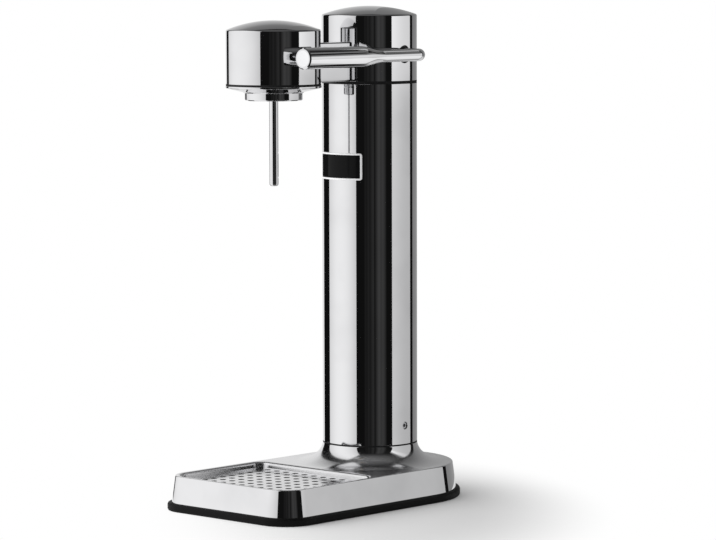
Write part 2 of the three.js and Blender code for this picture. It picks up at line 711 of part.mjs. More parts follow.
function makeCylinderValve() {
  const hexagon = disc(HEX_RADIUS, NECK_TOP, THREAD_Z, HEX_SIDES)
  const thread = disc(THREAD_RADIUS, THREAD_Z, VALVE_TOP)
  const seat = disc(PIN_RADIUS + GAP, PIN_TOP - PIN_LENGTH - CAM_LIFT - GAP, VALVE_TOP + OVERRUN, SMALL_STEPS)
  return cut(join(hexagon, thread), seat)
}

function makeValvePin() {
  return disc(PIN_RADIUS, PIN_TOP - PIN_LENGTH, PIN_TOP, SMALL_STEPS)
}

// Valve block, plunger and spring

function makeValveBlock() {
  const body = disc(BLOCK_RADIUS, BLOCK_BOTTOM, BLOCK_TOP)
  const flange = disc(BLOCK_FLANGE_RADIUS, BLOCK_FLANGE_Z, BLOCK_TOP)
  const socket = disc(THREAD_RADIUS + GAP, BLOCK_BOTTOM - OVERRUN, BLOCK_CEILING)
  const guide = disc(STEM_RADIUS + GAP, BLOCK_CEILING - OVERRUN, BLOCK_TOP + OVERRUN, SMALL_STEPS)
  const outletHole = disc(PIPE_RADIUS + GAP, BLOCK_TOP - PIPE_SOCKET - GAP, BLOCK_TOP + OVERRUN, SMALL_STEPS)
  const outlet = moved(outletHole, 0, -PIPE_OFFSET, 0)
  const holes = BLOCK_SCREWS.map(([x, y]) => screwHole(x, y, BLOCK_FLANGE_Z - OVERRUN, BLOCK_TOP + OVERRUN))
  return cut(join(body, flange), socket, guide, outlet, ...holes)
}

function makeBlockSeal() {
  return sleeve(SEAL_BORE_RADIUS, THREAD_RADIUS, BLOCK_CEILING - SEAL_THICKNESS, BLOCK_CEILING)
}

function makePlunger() {
  return turned([
    [0, PIN_TOP + GAP],
    [STEM_RADIUS, PIN_TOP + GAP],
    [STEM_RADIUS, PLUNGER_TOP - PAD_THICKNESS],
    [PAD_RADIUS, PLUNGER_TOP - PAD_THICKNESS],
    [PAD_RADIUS, PLUNGER_TOP],
    [0, PLUNGER_TOP],
  ], PART_STEPS)
}

function makeReturnSpring() {
  const low = BLOCK_TOP + GAP + SPRING_WIRE_RADIUS
  const high = PLUNGER_TOP - PAD_THICKNESS - GAP - SPRING_WIRE_RADIUS
  const steps = Math.round(SPRING_TURNS * COIL_STEPS)
  const up = new THREE.Vector3(0, 0, 1)
  const stations = []
  for (let i = 0; i <= steps; i++) {
    const angle = 2 * Math.PI * SPRING_TURNS * i / steps
    const side = new THREE.Vector3(Math.cos(angle), Math.sin(angle), 0)
    const at = side.clone().multiplyScalar(SPRING_RADIUS).setZ(low + (high - low) * i / steps)
    stations.push({ at, side, radius: SPRING_WIRE_RADIUS })
  }
  return swept(stations, up, WIRE_SIDES)
}

// Lever and its shaft

function leverStations() {
  const stations = []
  const alongShaft = new THREE.Vector3(0, 1, 0)
  const alongHandle = new THREE.Vector3(1, 0, 0)
  const grooveOuter = CLIP_X + CLIP_WIDTH + GAP
  const add = (x, y, side, radius) => stations.push({ at: new THREE.Vector3(x, y, LEVER_Z), side, radius })
  add(-grooveOuter - SHAFT_END, 0, alongShaft, ROD_RADIUS)
  add(-grooveOuter, 0, alongShaft, ROD_RADIUS)
  add(-grooveOuter, 0, alongShaft, ROD_RADIUS - GROOVE_DEPTH)
  add(-CLIP_X + GAP, 0, alongShaft, ROD_RADIUS - GROOVE_DEPTH)
  add(-CLIP_X + GAP, 0, alongShaft, ROD_RADIUS)
  for (let i = 0; i <= ARC_STEPS; i++) {
    const angle = Math.PI / 2 * (1 - i / ARC_STEPS)
    const side = new THREE.Vector3(Math.cos(angle), Math.sin(angle), 0)
    const x = HANDLE_OFFSET - BEND_RADIUS + BEND_RADIUS * side.x
    add(x, -BEND_RADIUS + BEND_RADIUS * side.y, side, ROD_RADIUS)
  }
  const taperEnd = HANDLE_REACH - HANDLE_LENGTH
  for (let i = 0; i <= ARC_STEPS; i++) {
    const share = i / ARC_STEPS
    const swell = (1 - Math.cos(Math.PI * share)) / 2
    const y = -(taperEnd - TAPER_LENGTH * (1 - share))
    add(HANDLE_OFFSET, y, alongHandle, ROD_RADIUS + (HANDLE_RADIUS - ROD_RADIUS) * swell)
  }
  add(HANDLE_OFFSET, -HANDLE_REACH + HANDLE_CHAMFER, alongHandle, HANDLE_RADIUS)
  add(HANDLE_OFFSET, -HANDLE_REACH, alongHandle, HANDLE_RADIUS - HANDLE_CHAMFER)
  return stations
}

function makeLever() {
  return swept(leverStations(), new THREE.Vector3(0, 0, 1), ROD_SIDES)
}

// The cam's working face is an involute, so a flat pad under it goes down evenly as the lever turns
function makeLeverCam() {
  const outline = []
  for (let i = 0; i <= ARC_STEPS; i++) {
    const turn = LEVER_TRAVEL * i / ARC_STEPS
    const reach = CAM_RADIUS + CAM_RATE * turn
    outline.push(new THREE.Vector2(
      -reach * Math.sin(turn) - CAM_RATE * Math.cos(turn),
      -reach * Math.cos(turn) + CAM_RATE * Math.sin(turn),
    ))
  }
  const tip = outline[outline.length - 1]
  const tangent = Math.atan2(tip.y, tip.x) - Math.acos(CAM_RADIUS / tip.length())
  outline.push(...arcPoints(0, 0, CAM_RADIUS, tangent, -Math.PI / 2 - 2 * Math.PI, SMALL_STEPS)
    .map((p) => new THREE.Vector2(p.x, p.y)))
  const ends = [-CAM_HALF_WIDTH, CAM_HALF_WIDTH]
  const rings = ends.map((x) => outline.map((p) => new THREE.Vector3(x, p.x, LEVER_Z + p.y)))
  const half = CAM_HALF_WIDTH + OVERRUN
  return cut(skinned(rings, false), crossBar(ROD_RADIUS + GAP, -half, half, LEVER_Z))
}

function makeBush(from, to) {
  const body = crossBar(BUSH_RADIUS, from, to, LEVER_Z, PART_STEPS)
  return cut(body, crossBar(ROD_RADIUS + GAP, from - OVERRUN, to + OVERRUN, LEVER_Z, PART_STEPS))
}

function makeShaftClip() {
  const body = crossBar(CLIP_RADIUS, -CLIP_X - CLIP_WIDTH, -CLIP_X, LEVER_Z)
  const bore = ROD_RADIUS - GROOVE_DEPTH + GAP
  return cut(body, crossBar(bore, -CLIP_X - CLIP_WIDTH - OVERRUN, -CLIP_X + OVERRUN, LEVER_Z))
}

// Chassis

function bearingPost(from, to) {
  const foot = box(from, to, -POST_HALF_WIDTH, POST_HALF_WIDTH, FRAME_TOP - OVERRUN, LEVER_Z)
  const round = crossBar(POST_HALF_WIDTH, from, to, LEVER_Z, PART_STEPS)
  return join(foot, round)
}

function makeTopFrame() {
  const columnDisc = disc(INNER_RADIUS, COLUMN_TOP - FRAME_SPIGOT, FRAME_TOP, COLUMN_STEPS)
  const beamHalf = BRIDGE_WIDTH / 2 - BRIDGE_WALL - GAP
  const beam = box(-beamHalf, beamHalf, -HEAD_REACH, 0, BEAM_Z, FRAME_TOP)
  const headDisc = disc(HEAD_RADIUS - TUBE_WALL - GAP, COLUMN_TOP, FRAME_TOP, COLUMN_STEPS)
  const posts = [bearingPost(POST_INNER, POST_OUTER), bearingPost(-POST_OUTER, -POST_INNER)]
  const bearingEnd = POST_OUTER + OVERRUN
  const bearings = crossBar(BUSH_RADIUS + GAP, -bearingEnd, bearingEnd, LEVER_Z, PART_STEPS)
  const blockBore = disc(BLOCK_RADIUS + GAP, COLUMN_TOP - FRAME_SPIGOT - OVERRUN, FRAME_TOP + OVERRUN)
  const blockSeat = disc(BLOCK_FLANGE_RADIUS + GAP, BLOCK_FLANGE_Z, FRAME_TOP + OVERRUN)
  const blockHoles = BLOCK_SCREWS.map(([x, y]) =>
    screwHole(x, y, BLOCK_TOP - BLOCK_SCREW_LENGTH - GAP, BLOCK_FLANGE_Z + OVERRUN))
  const collarBore = disc(COLLAR_SLEEVE_RADIUS + GAP, COLUMN_TOP - OVERRUN, FRAME_TOP + OVERRUN)
  const headHoles = HEAD_SCREWS.map(([x, y]) =>
    screwHole(x, y - HEAD_REACH, COLUMN_TOP - OVERRUN, FRAME_TOP + OVERRUN))
  const body = cut(join(columnDisc, beam, moved(headDisc, 0, -HEAD_REACH, 0)), blockSeat)
  const bores = [bearings, blockBore, moved(collarBore, 0, -HEAD_REACH, 0)]
  return cut(join(body, ...posts), ...bores, ...blockHoles, ...headHoles)
}

// Cap, bridge and head

function bridgeBar(inset, fromY, toY) {
  const middle = (BRIDGE_BOTTOM + BRIDGE_TOP) / 2
  const corner = Math.max(BRIDGE_EDGE - inset, BRIDGE_EDGE / 2)
  return barAlongY(BRIDGE_WIDTH / 2 - inset, BRIDGE_HEIGHT / 2 - inset, corner, middle, fromY, toY)
}

function makeCapShell() {
  const shell = domedShell(COLUMN_RADIUS, CAP_BOTTOM, CAP_SHOULDER, OVERALL_HEIGHT)
  const window = bridgeBar(BRIDGE_WALL, -COLUMN_RADIUS - OVERRUN, -COLUMN_RADIUS / 2)
  const holeEnd = COLUMN_RADIUS + OVERRUN
  const sideHole = crossBar(BUSH_RADIUS + GAP, COLUMN_RADIUS / 2, holeEnd, LEVER_Z, PART_STEPS)
  return cut(shell, window, sideHole)
}

function makeBridgeCover() {
  const nearY = -COLUMN_RADIUS / 2
  const farY = -HEAD_REACH + HEAD_RADIUS / 2
  const tube = cut(bridgeBar(0, farY, nearY), bridgeBar(BRIDGE_WALL, farY - OVERRUN, nearY + OVERRUN))
  const nearSeat = disc(COLUMN_RADIUS + GAP, COLUMN_TOP, OVERALL_HEIGHT, COLUMN_STEPS)
  const farSeat = moved(disc(HEAD_RADIUS + GAP, COLUMN_TOP, OVERALL_HEIGHT, COLUMN_STEPS), 0, -HEAD_REACH, 0)
  return cut(tube, nearSeat, farSeat)
}

function makeHeadShell() {
  const shell = domedShell(HEAD_RADIUS, CAP_BOTTOM, HEAD_SHOULDER, HEAD_APEX)
  return cut(shell, bridgeBar(BRIDGE_WALL, HEAD_RADIUS / 2, HEAD_RADIUS + OVERRUN))
}

function makeHeadRing() {
  const bore = COLLAR_SLEEVE_RADIUS + GAP
  const rim = HEAD_RADIUS + RING_PROUD
  const ring = turned([
    [bore, RING_Z],
    [BOTTLE_COLLAR_RADIUS + RING_STEP, RING_Z],
    [BOTTLE_COLLAR_RADIUS + 2 * RING_STEP, RING_Z + RING_STEP],
    [rim - RING_PROUD, COLUMN_TOP - RING_RIM],
    [rim, COLUMN_TOP - RING_RIM + RING_PROUD],
    [rim, COLUMN_TOP],
    [bore, COLUMN_TOP],
    [bore, RING_Z],
  ], COLUMN_STEPS)
  const end = FRAME_TOP - HEAD_SCREW_LENGTH - GAP
  return cut(ring, ...HEAD_SCREWS.map(([x, y]) => screwHole(x, y, end, COLUMN_TOP + OVERRUN)))
}

function makeBottleCollar() {
  return turned([
    [BOTTLE_BORE_RADIUS, BOTTLE_COLLAR_Z],
    [BOTTLE_COLLAR_RADIUS - BOTTLE_COLLAR_EDGE, BOTTLE_COLLAR_Z],
    [BOTTLE_COLLAR_RADIUS, BOTTLE_COLLAR_Z + BOTTLE_COLLAR_EDGE],
    [BOTTLE_COLLAR_RADIUS, RING_Z],
    [COLLAR_SLEEVE_RADIUS, RING_Z],
    [COLLAR_SLEEVE_RADIUS, COLLAR_TOP_Z],
    [SOCKET_RADIUS + GAP, COLLAR_TOP_Z],
    [SOCKET_RADIUS + GAP, FRAME_TOP],
    [BOTTLE_BORE_RADIUS, FRAME_TOP],
    [BOTTLE_BORE_RADIUS, BOTTLE_COLLAR_Z],
  ], PART_STEPS)
}

function makeBottleSeal() {
  const outer = BOTTLE_BORE_RADIUS - GAP
  return sleeve(outer - BOTTLE_SEAL_WIDTH, outer, FRAME_TOP - BOTTLE_SEAL_THICKNESS, FRAME_TOP)
}

function makeCollarNut() {
  const inner = COLLAR_SLEEVE_RADIUS + GAP
  return sleeve(inner, inner + NUT_WALL, FRAME_TOP, FRAME_TOP + NUT_HEIGHT)
}

function makeCarbonationBody() {
  const body = disc(BODY_RADIUS, COLLAR_TOP_Z, COLLAR_TOP_Z + BODY_HEIGHT)
  const spigot = disc(SOCKET_RADIUS, COLLAR_TOP_Z - BODY_SPIGOT_LENGTH, COLLAR_TOP_Z + OVERRUN)
  const bore = disc(SOCKET_BORE, COLLAR_TOP_Z - BODY_SPIGOT_LENGTH - OVERRUN, NOZZLE_TOP + GAP, SMALL_STEPS)
  const depth = PIPE_SOCKET + GAP
  const inlet = new THREE.CylinderGeometry(PIPE_RADIUS + GAP, PIPE_RADIUS + GAP, depth + OVERRUN, SMALL_STEPS)
  inlet.translate(0, BODY_RADIUS - depth + (depth + OVERRUN) / 2, PIPE_Z)
  return cut(join(body, spigot), bore, solid(inlet))
}

function makeNozzle() {
  const tip = BOTTLE_COLLAR_Z - NOZZLE_DROP
  const bore = NOZZLE_RADIUS - NOZZLE_WALL
  const round = NOZZLE_RADIUS / 2
  const rounding = arcPoints(round, tip + round, round, -Math.PI / 2, 0, SHOULDER_STEPS)
  return turned([
    [NOZZLE_ORIFICE_RADIUS, tip],
    ...rounding.map((p) => [p.x, p.y]),
    [NOZZLE_RADIUS, NOZZLE_TOP],
    [bore, NOZZLE_TOP],
    [bore, tip + NOZZLE_RADIUS],
    [NOZZLE_ORIFICE_RADIUS, tip + NOZZLE_RADIUS - NOZZLE_WALL],
    [NOZZLE_ORIFICE_RADIUS, tip],
  ], SMALL_STEPS)
}

function makeReliefValve() {
  const foot = COLLAR_TOP_Z + BODY_HEIGHT
  return turned([
    [0, foot],
    [RELIEF_RADIUS, foot],
    [RELIEF_RADIUS, foot + RELIEF_HEIGHT / 2],
    [RELIEF_RADIUS * Math.SQRT1_2, foot + RELIEF_HEIGHT / 2],
    [RELIEF_RADIUS * Math.SQRT1_2, foot + RELIEF_HEIGHT],
    [0, foot + RELIEF_HEIGHT],
  ], SMALL_STEPS)
}

function makeGasPipe() {
  const stations = []
  const startY = -PIPE_OFFSET
  const endY = -HEAD_REACH + BODY_RADIUS - PIPE_SOCKET
  const towardsFront = new THREE.Vector3(0, -1, 0)
  const up = new THREE.Vector3(0, 0, 1)
  const add = (y, z, side) => stations.push({ at: new THREE.Vector3(0, y, z), side, radius: PIPE_RADIUS })
  add(startY, BLOCK_TOP - PIPE_SOCKET, towardsFront)
  for (let i = 0; i <= ARC_STEPS; i++) {
    const angle = Math.PI / 2 * i / ARC_STEPS
    const side = towardsFront.clone().multiplyScalar(Math.cos(angle)).addScaledVector(up, -Math.sin(angle))
    add(startY - PIPE_BEND * (1 - Math.cos(angle)), PIPE_Z - PIPE_BEND * (1 - Math.sin(angle)), side)
  }
  add(endY, PIPE_Z, up.clone().negate())
  return swept(stations, new THREE.Vector3(1, 0, 0), PIPE_SIDES)
}

// Assembly

const waterMaker = new THREE.Group()
const upright = new THREE.Group()
const head = new THREE.Group()
upright.position.y = BASE_DEPTH / 2 - BASE_HALF_WIDTH
head.position.y = -HEAD_REACH
waterMaker.add(upright)
upright.add(head)

function place(parent, name, shape, finish) {
  const mesh = new THREE.Mesh(asGeometry(shape), new THREE.MeshStandardMaterial(finish))
  mesh.name = name
  parent.add(mesh)
  return mesh
}

// Screws point up by themselves; those that go in from above are turned over
function placeScrew(parent, name, shape, [x, y], seatZ, fromAbove) {
  const mesh = place(parent, name, shape, PLAIN_STEEL)
  mesh.position.set(x, y, seatZ)
  if (fromAbove) mesh.rotation.x = Math.PI
}

place(upright, 'base_shell', makeBaseShell(), POLISHED_STEEL)
place(upright, 'rubber_foot', makeRubberFoot(), BLACK_RUBBER)
place(upright, 'base_plate', makeBasePlate(), BLACK_PLASTIC)
place(upright, 'drip_grid', makeDripGrid(), POLISHED_STEEL)
place(upright, 'foot_spigot', makeFootSpigot(), CAST_ALUMINIUM)
place(upright, 'foot_set_screw', makeSetScrew(), PLAIN_STEEL)
place(upright, 'foot_gasket', makeGasket(COLUMN_RADIUS, COLLAR_TOP, COLUMN_BOTTOM), BLACK_RUBBER)
const plateScrew = screw(SCREW_HEAD_RADIUS, PLATE_SCREW_LENGTH)
const spigotScrew = screw(SCREW_HEAD_RADIUS, SPIGOT_SCREW_LENGTH)
PLATE_SCREWS.forEach((at, i) =>
  placeScrew(upright, `plate_screw_${i + 1}`, plateScrew, at, FOOT_HEIGHT, false))
SPIGOT_SCREWS.forEach((at, i) =>
  placeScrew(upright, `spigot_screw_${i + 1}`, spigotScrew, at, SPIGOT_FLANGE_Z, false))

place(upright, 'column_tube', makeColumnTube(), POLISHED_STEEL)
place(upright, 'badge_frame', makeBadgeFrame(), POLISHED_STEEL)
place(upright, 'badge_plate', makeBadgePlate(), BLACK_GLOSS)
place(upright, 'gas_cylinder', makeGasCylinder(), CYLINDER_PAINT)
place(upright, 'cylinder_valve', makeCylinderValve(), BRASS)
place(upright, 'valve_pin', makeValvePin(), PLAIN_STEEL)
place(upright, 'column_gasket', makeGasket(COLUMN_RADIUS, COLUMN_TOP, CAP_BOTTOM), BLACK_RUBBER)

place(upright, 'top_frame', makeTopFrame(), CAST_ALUMINIUM)
place(upright, 'valve_block', makeValveBlock(), BRASS)
place(upright, 'block_seal', makeBlockSeal(), BLACK_RUBBER)
place(upright, 'plunger', makePlunger(), PLAIN_STEEL)
place(upright, 'return_spring', makeReturnSpring(), PLAIN_STEEL)
place(upright, 'gas_pipe', makeGasPipe(), PLAIN_STEEL)
const blockScrew = screw(BLOCK_SCREW_HEAD_RADIUS, BLOCK_SCREW_LENGTH)
BLOCK_SCREWS.forEach((at, i) => placeScrew(upright, `block_screw_${i + 1}`, blockScrew, at, BLOCK_TOP, true))

place(upright, 'lever', makeLever(), POLISHED_STEEL)
place(upright, 'lever_cam', makeLeverCam(), PLAIN_STEEL)
place(upright, 'lever_bush', makeBush(POST_INNER, COLUMN_RADIUS - BUSH_SINK), BLACK_PLASTIC)
place(upright, 'shaft_bearing', makeBush(-POST_OUTER, -POST_INNER), BLACK_PLASTIC)
place(upright, 'shaft_clip', makeShaftClip(), PLAIN_STEEL)
place(upright, 'cap_shell', makeCapShell(), POLISHED_STEEL)
place(upright, 'bridge_cover', makeBridgeCover(), POLISHED_STEEL)

place(head, 'head_shell', makeHeadShell(), POLISHED_STEEL)
place(head, 'head_gasket', makeGasket(HEAD_RADIUS, COLUMN_TOP, CAP_BOTTOM), BLACK_RUBBER)
place(head, 'head_ring', makeHeadRing(), POLISHED_STEEL)
place(head, 'bottle_collar', makeBottleCollar(), POLISHED_STEEL)
place(head, 'bottle_seal', makeBottleSeal(), BLACK_RUBBER)
place(head, 'collar_nut', makeCollarNut(), PLAIN_STEEL)
place(head, 'carbonation_body', makeCarbonationBody(), BRASS)
place(head, 'relief_valve', makeReliefValve(), BRASS)
place(head, 'nozzle_tube', makeNozzle(), POLISHED_STEEL)
const headScrew = screw(SCREW_HEAD_RADIUS, HEAD_SCREW_LENGTH)
HEAD_SCREWS.forEach((at, i) => placeScrew(head, `head_screw_${i + 1}`, headScrew, at, FRAME_TOP, true))

waterMaker.updateMatrixWorld(true)

export default waterMaker
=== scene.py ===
# %% [markdown]
# A countertop sparkling water maker in mirror polished steel, dressed for rendering.
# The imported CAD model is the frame: its bodies, its places and its sizes. Every piece that shows from above
# or the sides is built again here in mesh code, finer and with rounded edges, where its CAD solid stands.
# So are the spring and the gas cylinder. The base plate, its screws and the other inner pieces keep their
# CAD solids. Metres, +Z up, the front towards -Y.

# %% Load the frame
import json
import math
import bmesh
import bpy
from mathutils import Matrix, Vector


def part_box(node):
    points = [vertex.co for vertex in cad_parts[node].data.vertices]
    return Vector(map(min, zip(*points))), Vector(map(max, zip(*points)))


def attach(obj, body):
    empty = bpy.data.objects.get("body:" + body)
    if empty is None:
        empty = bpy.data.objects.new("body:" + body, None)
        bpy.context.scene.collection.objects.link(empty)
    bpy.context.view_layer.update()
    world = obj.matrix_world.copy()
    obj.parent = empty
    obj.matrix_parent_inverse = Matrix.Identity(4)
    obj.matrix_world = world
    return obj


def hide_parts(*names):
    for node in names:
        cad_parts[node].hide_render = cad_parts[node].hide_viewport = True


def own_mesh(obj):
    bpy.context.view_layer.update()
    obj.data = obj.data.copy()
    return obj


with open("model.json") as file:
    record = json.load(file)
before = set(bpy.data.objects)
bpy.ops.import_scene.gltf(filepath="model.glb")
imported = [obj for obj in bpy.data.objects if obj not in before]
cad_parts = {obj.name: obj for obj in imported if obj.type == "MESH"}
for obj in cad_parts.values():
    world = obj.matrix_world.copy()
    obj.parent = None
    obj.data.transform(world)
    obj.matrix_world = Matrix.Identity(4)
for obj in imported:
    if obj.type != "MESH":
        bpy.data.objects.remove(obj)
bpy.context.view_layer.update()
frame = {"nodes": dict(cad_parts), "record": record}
nodes = frame["nodes"]
scene = bpy.context.scene
QUARTER = math.pi / 2


# %% [markdown]
# The photograph seems to be taken from far away with a long lens, a little above the table. The distance
# and the lens were found by fitting a camera to outlines of the machine. It is placed by the same few
# values: where it looks, how far off it is, and its turn, rise and roll. The base's lower edge fits least.

# %% The camera
LOOKS_AT = Vector((-0.00729, 0.04579, 0.19109))
CAMERA_DISTANCE = 2.93684
CAMERA_TURN = math.radians(42.615)
CAMERA_RISE = math.radians(5.125)
CAMERA_ROLL = math.radians(-0.135)
PHOTO_WIDTH = 716
FOCAL_PIXELS = 3471.34
SENSOR_WIDTH = 36
FAR_CLIP = 200

to_right = Vector((math.cos(CAMERA_TURN), math.sin(CAMERA_TURN), 0))
to_front = Vector((math.sin(CAMERA_TURN), -math.cos(CAMERA_TURN), 0))
upright = Vector((0, 0, 1))
to_camera = to_front * math.cos(CAMERA_RISE) + upright * math.sin(CAMERA_RISE)
up_in_view = to_camera.cross(to_right)
across = to_right * math.cos(CAMERA_ROLL) + up_in_view * math.sin(CAMERA_ROLL)
above = up_in_view * math.cos(CAMERA_ROLL) - to_right * math.sin(CAMERA_ROLL)

camera = bpy.data.objects.new("camera", bpy.data.cameras.new("camera"))
camera.data.sensor_width = SENSOR_WIDTH
camera.data.lens = FOCAL_PIXELS / PHOTO_WIDTH * SENSOR_WIDTH
camera.data.clip_end = FAR_CLIP
turn = Matrix((across, above, to_camera)).transposed()
camera.matrix_world = Matrix.Translation(LOOKS_AT + to_camera * CAMERA_DISTANCE) @ turn.to_4x4()
scene.collection.objects.link(camera)
scene.camera = camera
scene.view_settings.view_transform = "Standard"
print(f"lens {camera.data.lens:.1f} mm")

# %% [markdown]
# Node trees are wired many times below, so small helpers keep that short. They make a node and fill or
# connect its inputs, start and use a shared group with named sockets, and start a material. A group here
# only ever puts out a mask or a height. The shader stays outside it.

# %% Helpers for node trees
def add_node(tree, kind, inputs=(), **settings):
    node = tree.nodes.new(kind)
    for name, value in settings.items():
        setattr(node, name, value)
    for name, value in dict(inputs).items():
        if isinstance(value, bpy.types.NodeSocket):
            tree.links.new(value, node.inputs[name])
        else:
            node.inputs[name].default_value = value
    return node


def new_group(name, inputs, outputs):
    tree = bpy.data.node_groups.new(name, "ShaderNodeTree")
    for socket, value in inputs.items():
        made = tree.interface.new_socket(socket, in_out="INPUT", socket_type="NodeSocketFloat")
        made.default_value = value
    for socket in outputs:
        tree.interface.new_socket(socket, in_out="OUTPUT", socket_type="NodeSocketFloat")
    entry = tree.nodes.new("NodeGroupInput")
    result = tree.nodes.new("NodeGroupOutput")
    return tree, entry.outputs, result.inputs


def math_node(tree, operation, first, second=0.0):
    node = add_node(tree, "ShaderNodeMath", operation=operation)
    for index, value in enumerate((first, second)):
        if isinstance(value, bpy.types.NodeSocket):
            tree.links.new(value, node.inputs[index])
        else:
            node.inputs[index].default_value = value
    return node.outputs[0]


def remap(tree, value, from_low, from_high, to_low, to_high):
    inputs = {"Value": value, "From Min": from_low, "From Max": from_high}
    inputs.update({"To Min": to_low, "To Max": to_high})
    return add_node(tree, "ShaderNodeMapRange", inputs, clamp=True).outputs["Result"]


def object_place(tree):
    return add_node(tree, "ShaderNodeTexCoord").outputs["Object"]


def from_group(tree, group, **inputs):
    """Places a shared group and gives its one output."""
    return add_node(tree, "ShaderNodeGroup", inputs, node_tree=group).outputs[0]


def facing_up(tree):
    """How far a face looks up: 1 for a level top, 0 for an upright wall."""
    normal = add_node(tree, "ShaderNodeNewGeometry").outputs["Normal"]
    return add_node(tree, "ShaderNodeSeparateXYZ", {0: normal}).outputs["Z"]


def start_material(name):
    material = bpy.data.materials.new(name)
    material.use_nodes = True
    tree = material.node_tree
    return material, tree, tree.nodes["Principled BSDF"]


def start_glow(name):
    """A material that gives light, so it starts without the Principled shader."""
    material, tree, shader = start_material(name)
    tree.nodes.remove(shader)
    material.cycles.emission_sampling = "NONE"
    return material, tree


def glow_node(tree, strength):
    return add_node(tree, "ShaderNodeEmission", {"Strength": strength}).outputs[0]


def show_surface(tree, surface):
    tree.links.new(surface, tree.nodes["Material Output"].inputs["Surface"])


# %% [markdown]
# Meshes are mostly built from rings of points with faces between them. These helpers make a ring, join
# two of them, and put a finished mesh into the scene with its material.

# %% Helpers for meshes
def circle(radius, steps, centre=(0, 0)):
    turns = [math.tau * i / steps for i in range(steps)]
    return [(centre[0] + radius * math.cos(a), centre[1] + radius * math.sin(a)) for a in turns]


def add_ring(bm, points):
    return [bm.verts.new(point) for point in points]


def bridge_rings(bm, first, second):
    count = len(first)
    for i in range(count):
        j = (i + 1) % count
        bm.faces.new((first[i], first[j], second[j], second[i]))


def mesh_from(bm, name):
    mesh = bpy.data.meshes.new(name)
    bm.to_mesh(mesh)
    bm.free()
    return mesh


def add_object(name, mesh, material):
    mesh.materials.append(material)
    piece = bpy.data.objects.new(name, mesh)
    scene.collection.objects.link(piece)
    return piece


# %% [markdown]
# Mirror steel shows its surroundings more than itself, so the studio matters as much as the metal. The real
# studio isn't known. This one is a guess that gives dark and bright bands like the photograph's: a large
# soft light close on the left, a white card on the right, black cloth in front, and paler cards behind.
# Each is a panel that only reflections see, so it shows in the steel without lighting the paper directly.

# %% The room: what the camera sees and what lights the paper
ROOM_LEVEL = 0.42
SEEN_LEVEL = 1.0


def seen_by_eye(tree):
    path = add_node(tree, "ShaderNodeLightPath").outputs
    either = math_node(tree, "MAXIMUM", path["Is Camera Ray"], path["Is Glossy Ray"])
    return math_node(tree, "MAXIMUM", either, path["Is Transmission Ray"])


def make_world():
    world = bpy.data.worlds.new("studio")
    scene.world = world
    world.use_nodes = True
    tree = world.node_tree
    tree.nodes.clear()
    white = {"Color": (1, 1, 1, 1)}
    plain = add_node(tree, "ShaderNodeBackground", {"Strength": ROOM_LEVEL, **white}).outputs[0]
    seen = add_node(tree, "ShaderNodeBackground", {"Strength": SEEN_LEVEL, **white}).outputs[0]
    mixed = add_node(tree, "ShaderNodeMixShader", {"Fac": seen_by_eye(tree), 1: plain, 2: seen})
    add_node(tree, "ShaderNodeOutputWorld", {"Surface": mixed.outputs[0]})


make_world()
print("the room lights diffuse surfaces at", ROOM_LEVEL)

# %% [markdown]
# The floor is white paper. Close to the object it is a real diffuse surface that keeps the soft shadow,
# and further out it fades into the white room, so no edge or horizon shows. Reflections see only its
# middle, because in the photograph the steel mirrors white paper near the foot and darkness beyond it.

# %% The floor
FLOOR_SIZE = 60
FLOOR_MIDDLE = 0.2
FLOOR_STEPS = 96
FLOOR_DROP = 0.0001
FLOOR_WHITE = 0.9
FLOOR_LIFT = 0.03
FADE_START = 0.07
FADE_END = 0.2
FADE_RIGHT, FADE_FRONT = 0.04, 0.06
FADE_DEPTH_SHARE = 0.6
PAPER_SCALE = 900
PAPER_DETAIL = 2
PAPER_TONE = 0.012
base_low, base_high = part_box("rubber_foot")
BASE_CENTRE = (base_low + base_high) / 2


def floor_material():
    material, tree = start_glow("white paper")
    turned = add_node(tree, "ShaderNodeVectorRotate", {"Vector": object_place(tree), "Angle": -CAMERA_TURN})
    moved = add_node(tree, "ShaderNodeVectorMath", {0: turned.outputs[0], 1: (-FADE_RIGHT, FADE_FRONT, 0)})
    scaled = add_node(tree, "ShaderNodeVectorMath", {0: moved.outputs[0], 1: (1, FADE_DEPTH_SHARE, 0)},
                      operation="MULTIPLY")
    away = add_node(tree, "ShaderNodeVectorMath", {0: scaled.outputs[0]}, operation="LENGTH")
    fade = add_node(tree, "ShaderNodeMapRange",
                    {"Value": away.outputs["Value"], "From Min": FADE_START, "From Max": FADE_END},
                    interpolation_type="SMOOTHSTEP")
    fibres = add_node(tree, "ShaderNodeTexNoise", {"Scale": PAPER_SCALE, "Detail": PAPER_DETAIL})
    tone = remap(tree, fibres.outputs["Fac"], 0, 1, FLOOR_WHITE - PAPER_TONE, FLOOR_WHITE + PAPER_TONE)
    diffuse = add_node(tree, "ShaderNodeBsdfDiffuse", {"Color": tone}).outputs[0]
    seen = seen_by_eye(tree)
    lift = glow_node(tree, math_node(tree, "MULTIPLY", seen, FLOOR_LIFT))
    lit = add_node(tree, "ShaderNodeAddShader", {0: diffuse, 1: lift}).outputs[0]
    far = math_node(tree, "MULTIPLY", seen, fade.outputs["Result"])
    mixed = add_node(tree, "ShaderNodeMixShader", {"Fac": far, 1: lit, 2: glow_node(tree, SEEN_LEVEL)})
    show_surface(tree, mixed.outputs[0])
    return material


def floor_piece(name, inner, outer, material):
    bm = bmesh.new()
    rings = [add_ring(bm, [(x, y, 0) for x, y in circle(r, FLOOR_STEPS)]) for r in (outer, inner) if r]
    if inner == 0:
        bm.faces.new(rings[0])
    else:
        bridge_rings(bm, *rings)
    piece = add_object(name, mesh_from(bm, name), material)
    piece.location = (BASE_CENTRE.x, BASE_CENTRE.y, -FLOOR_DROP)
    return piece


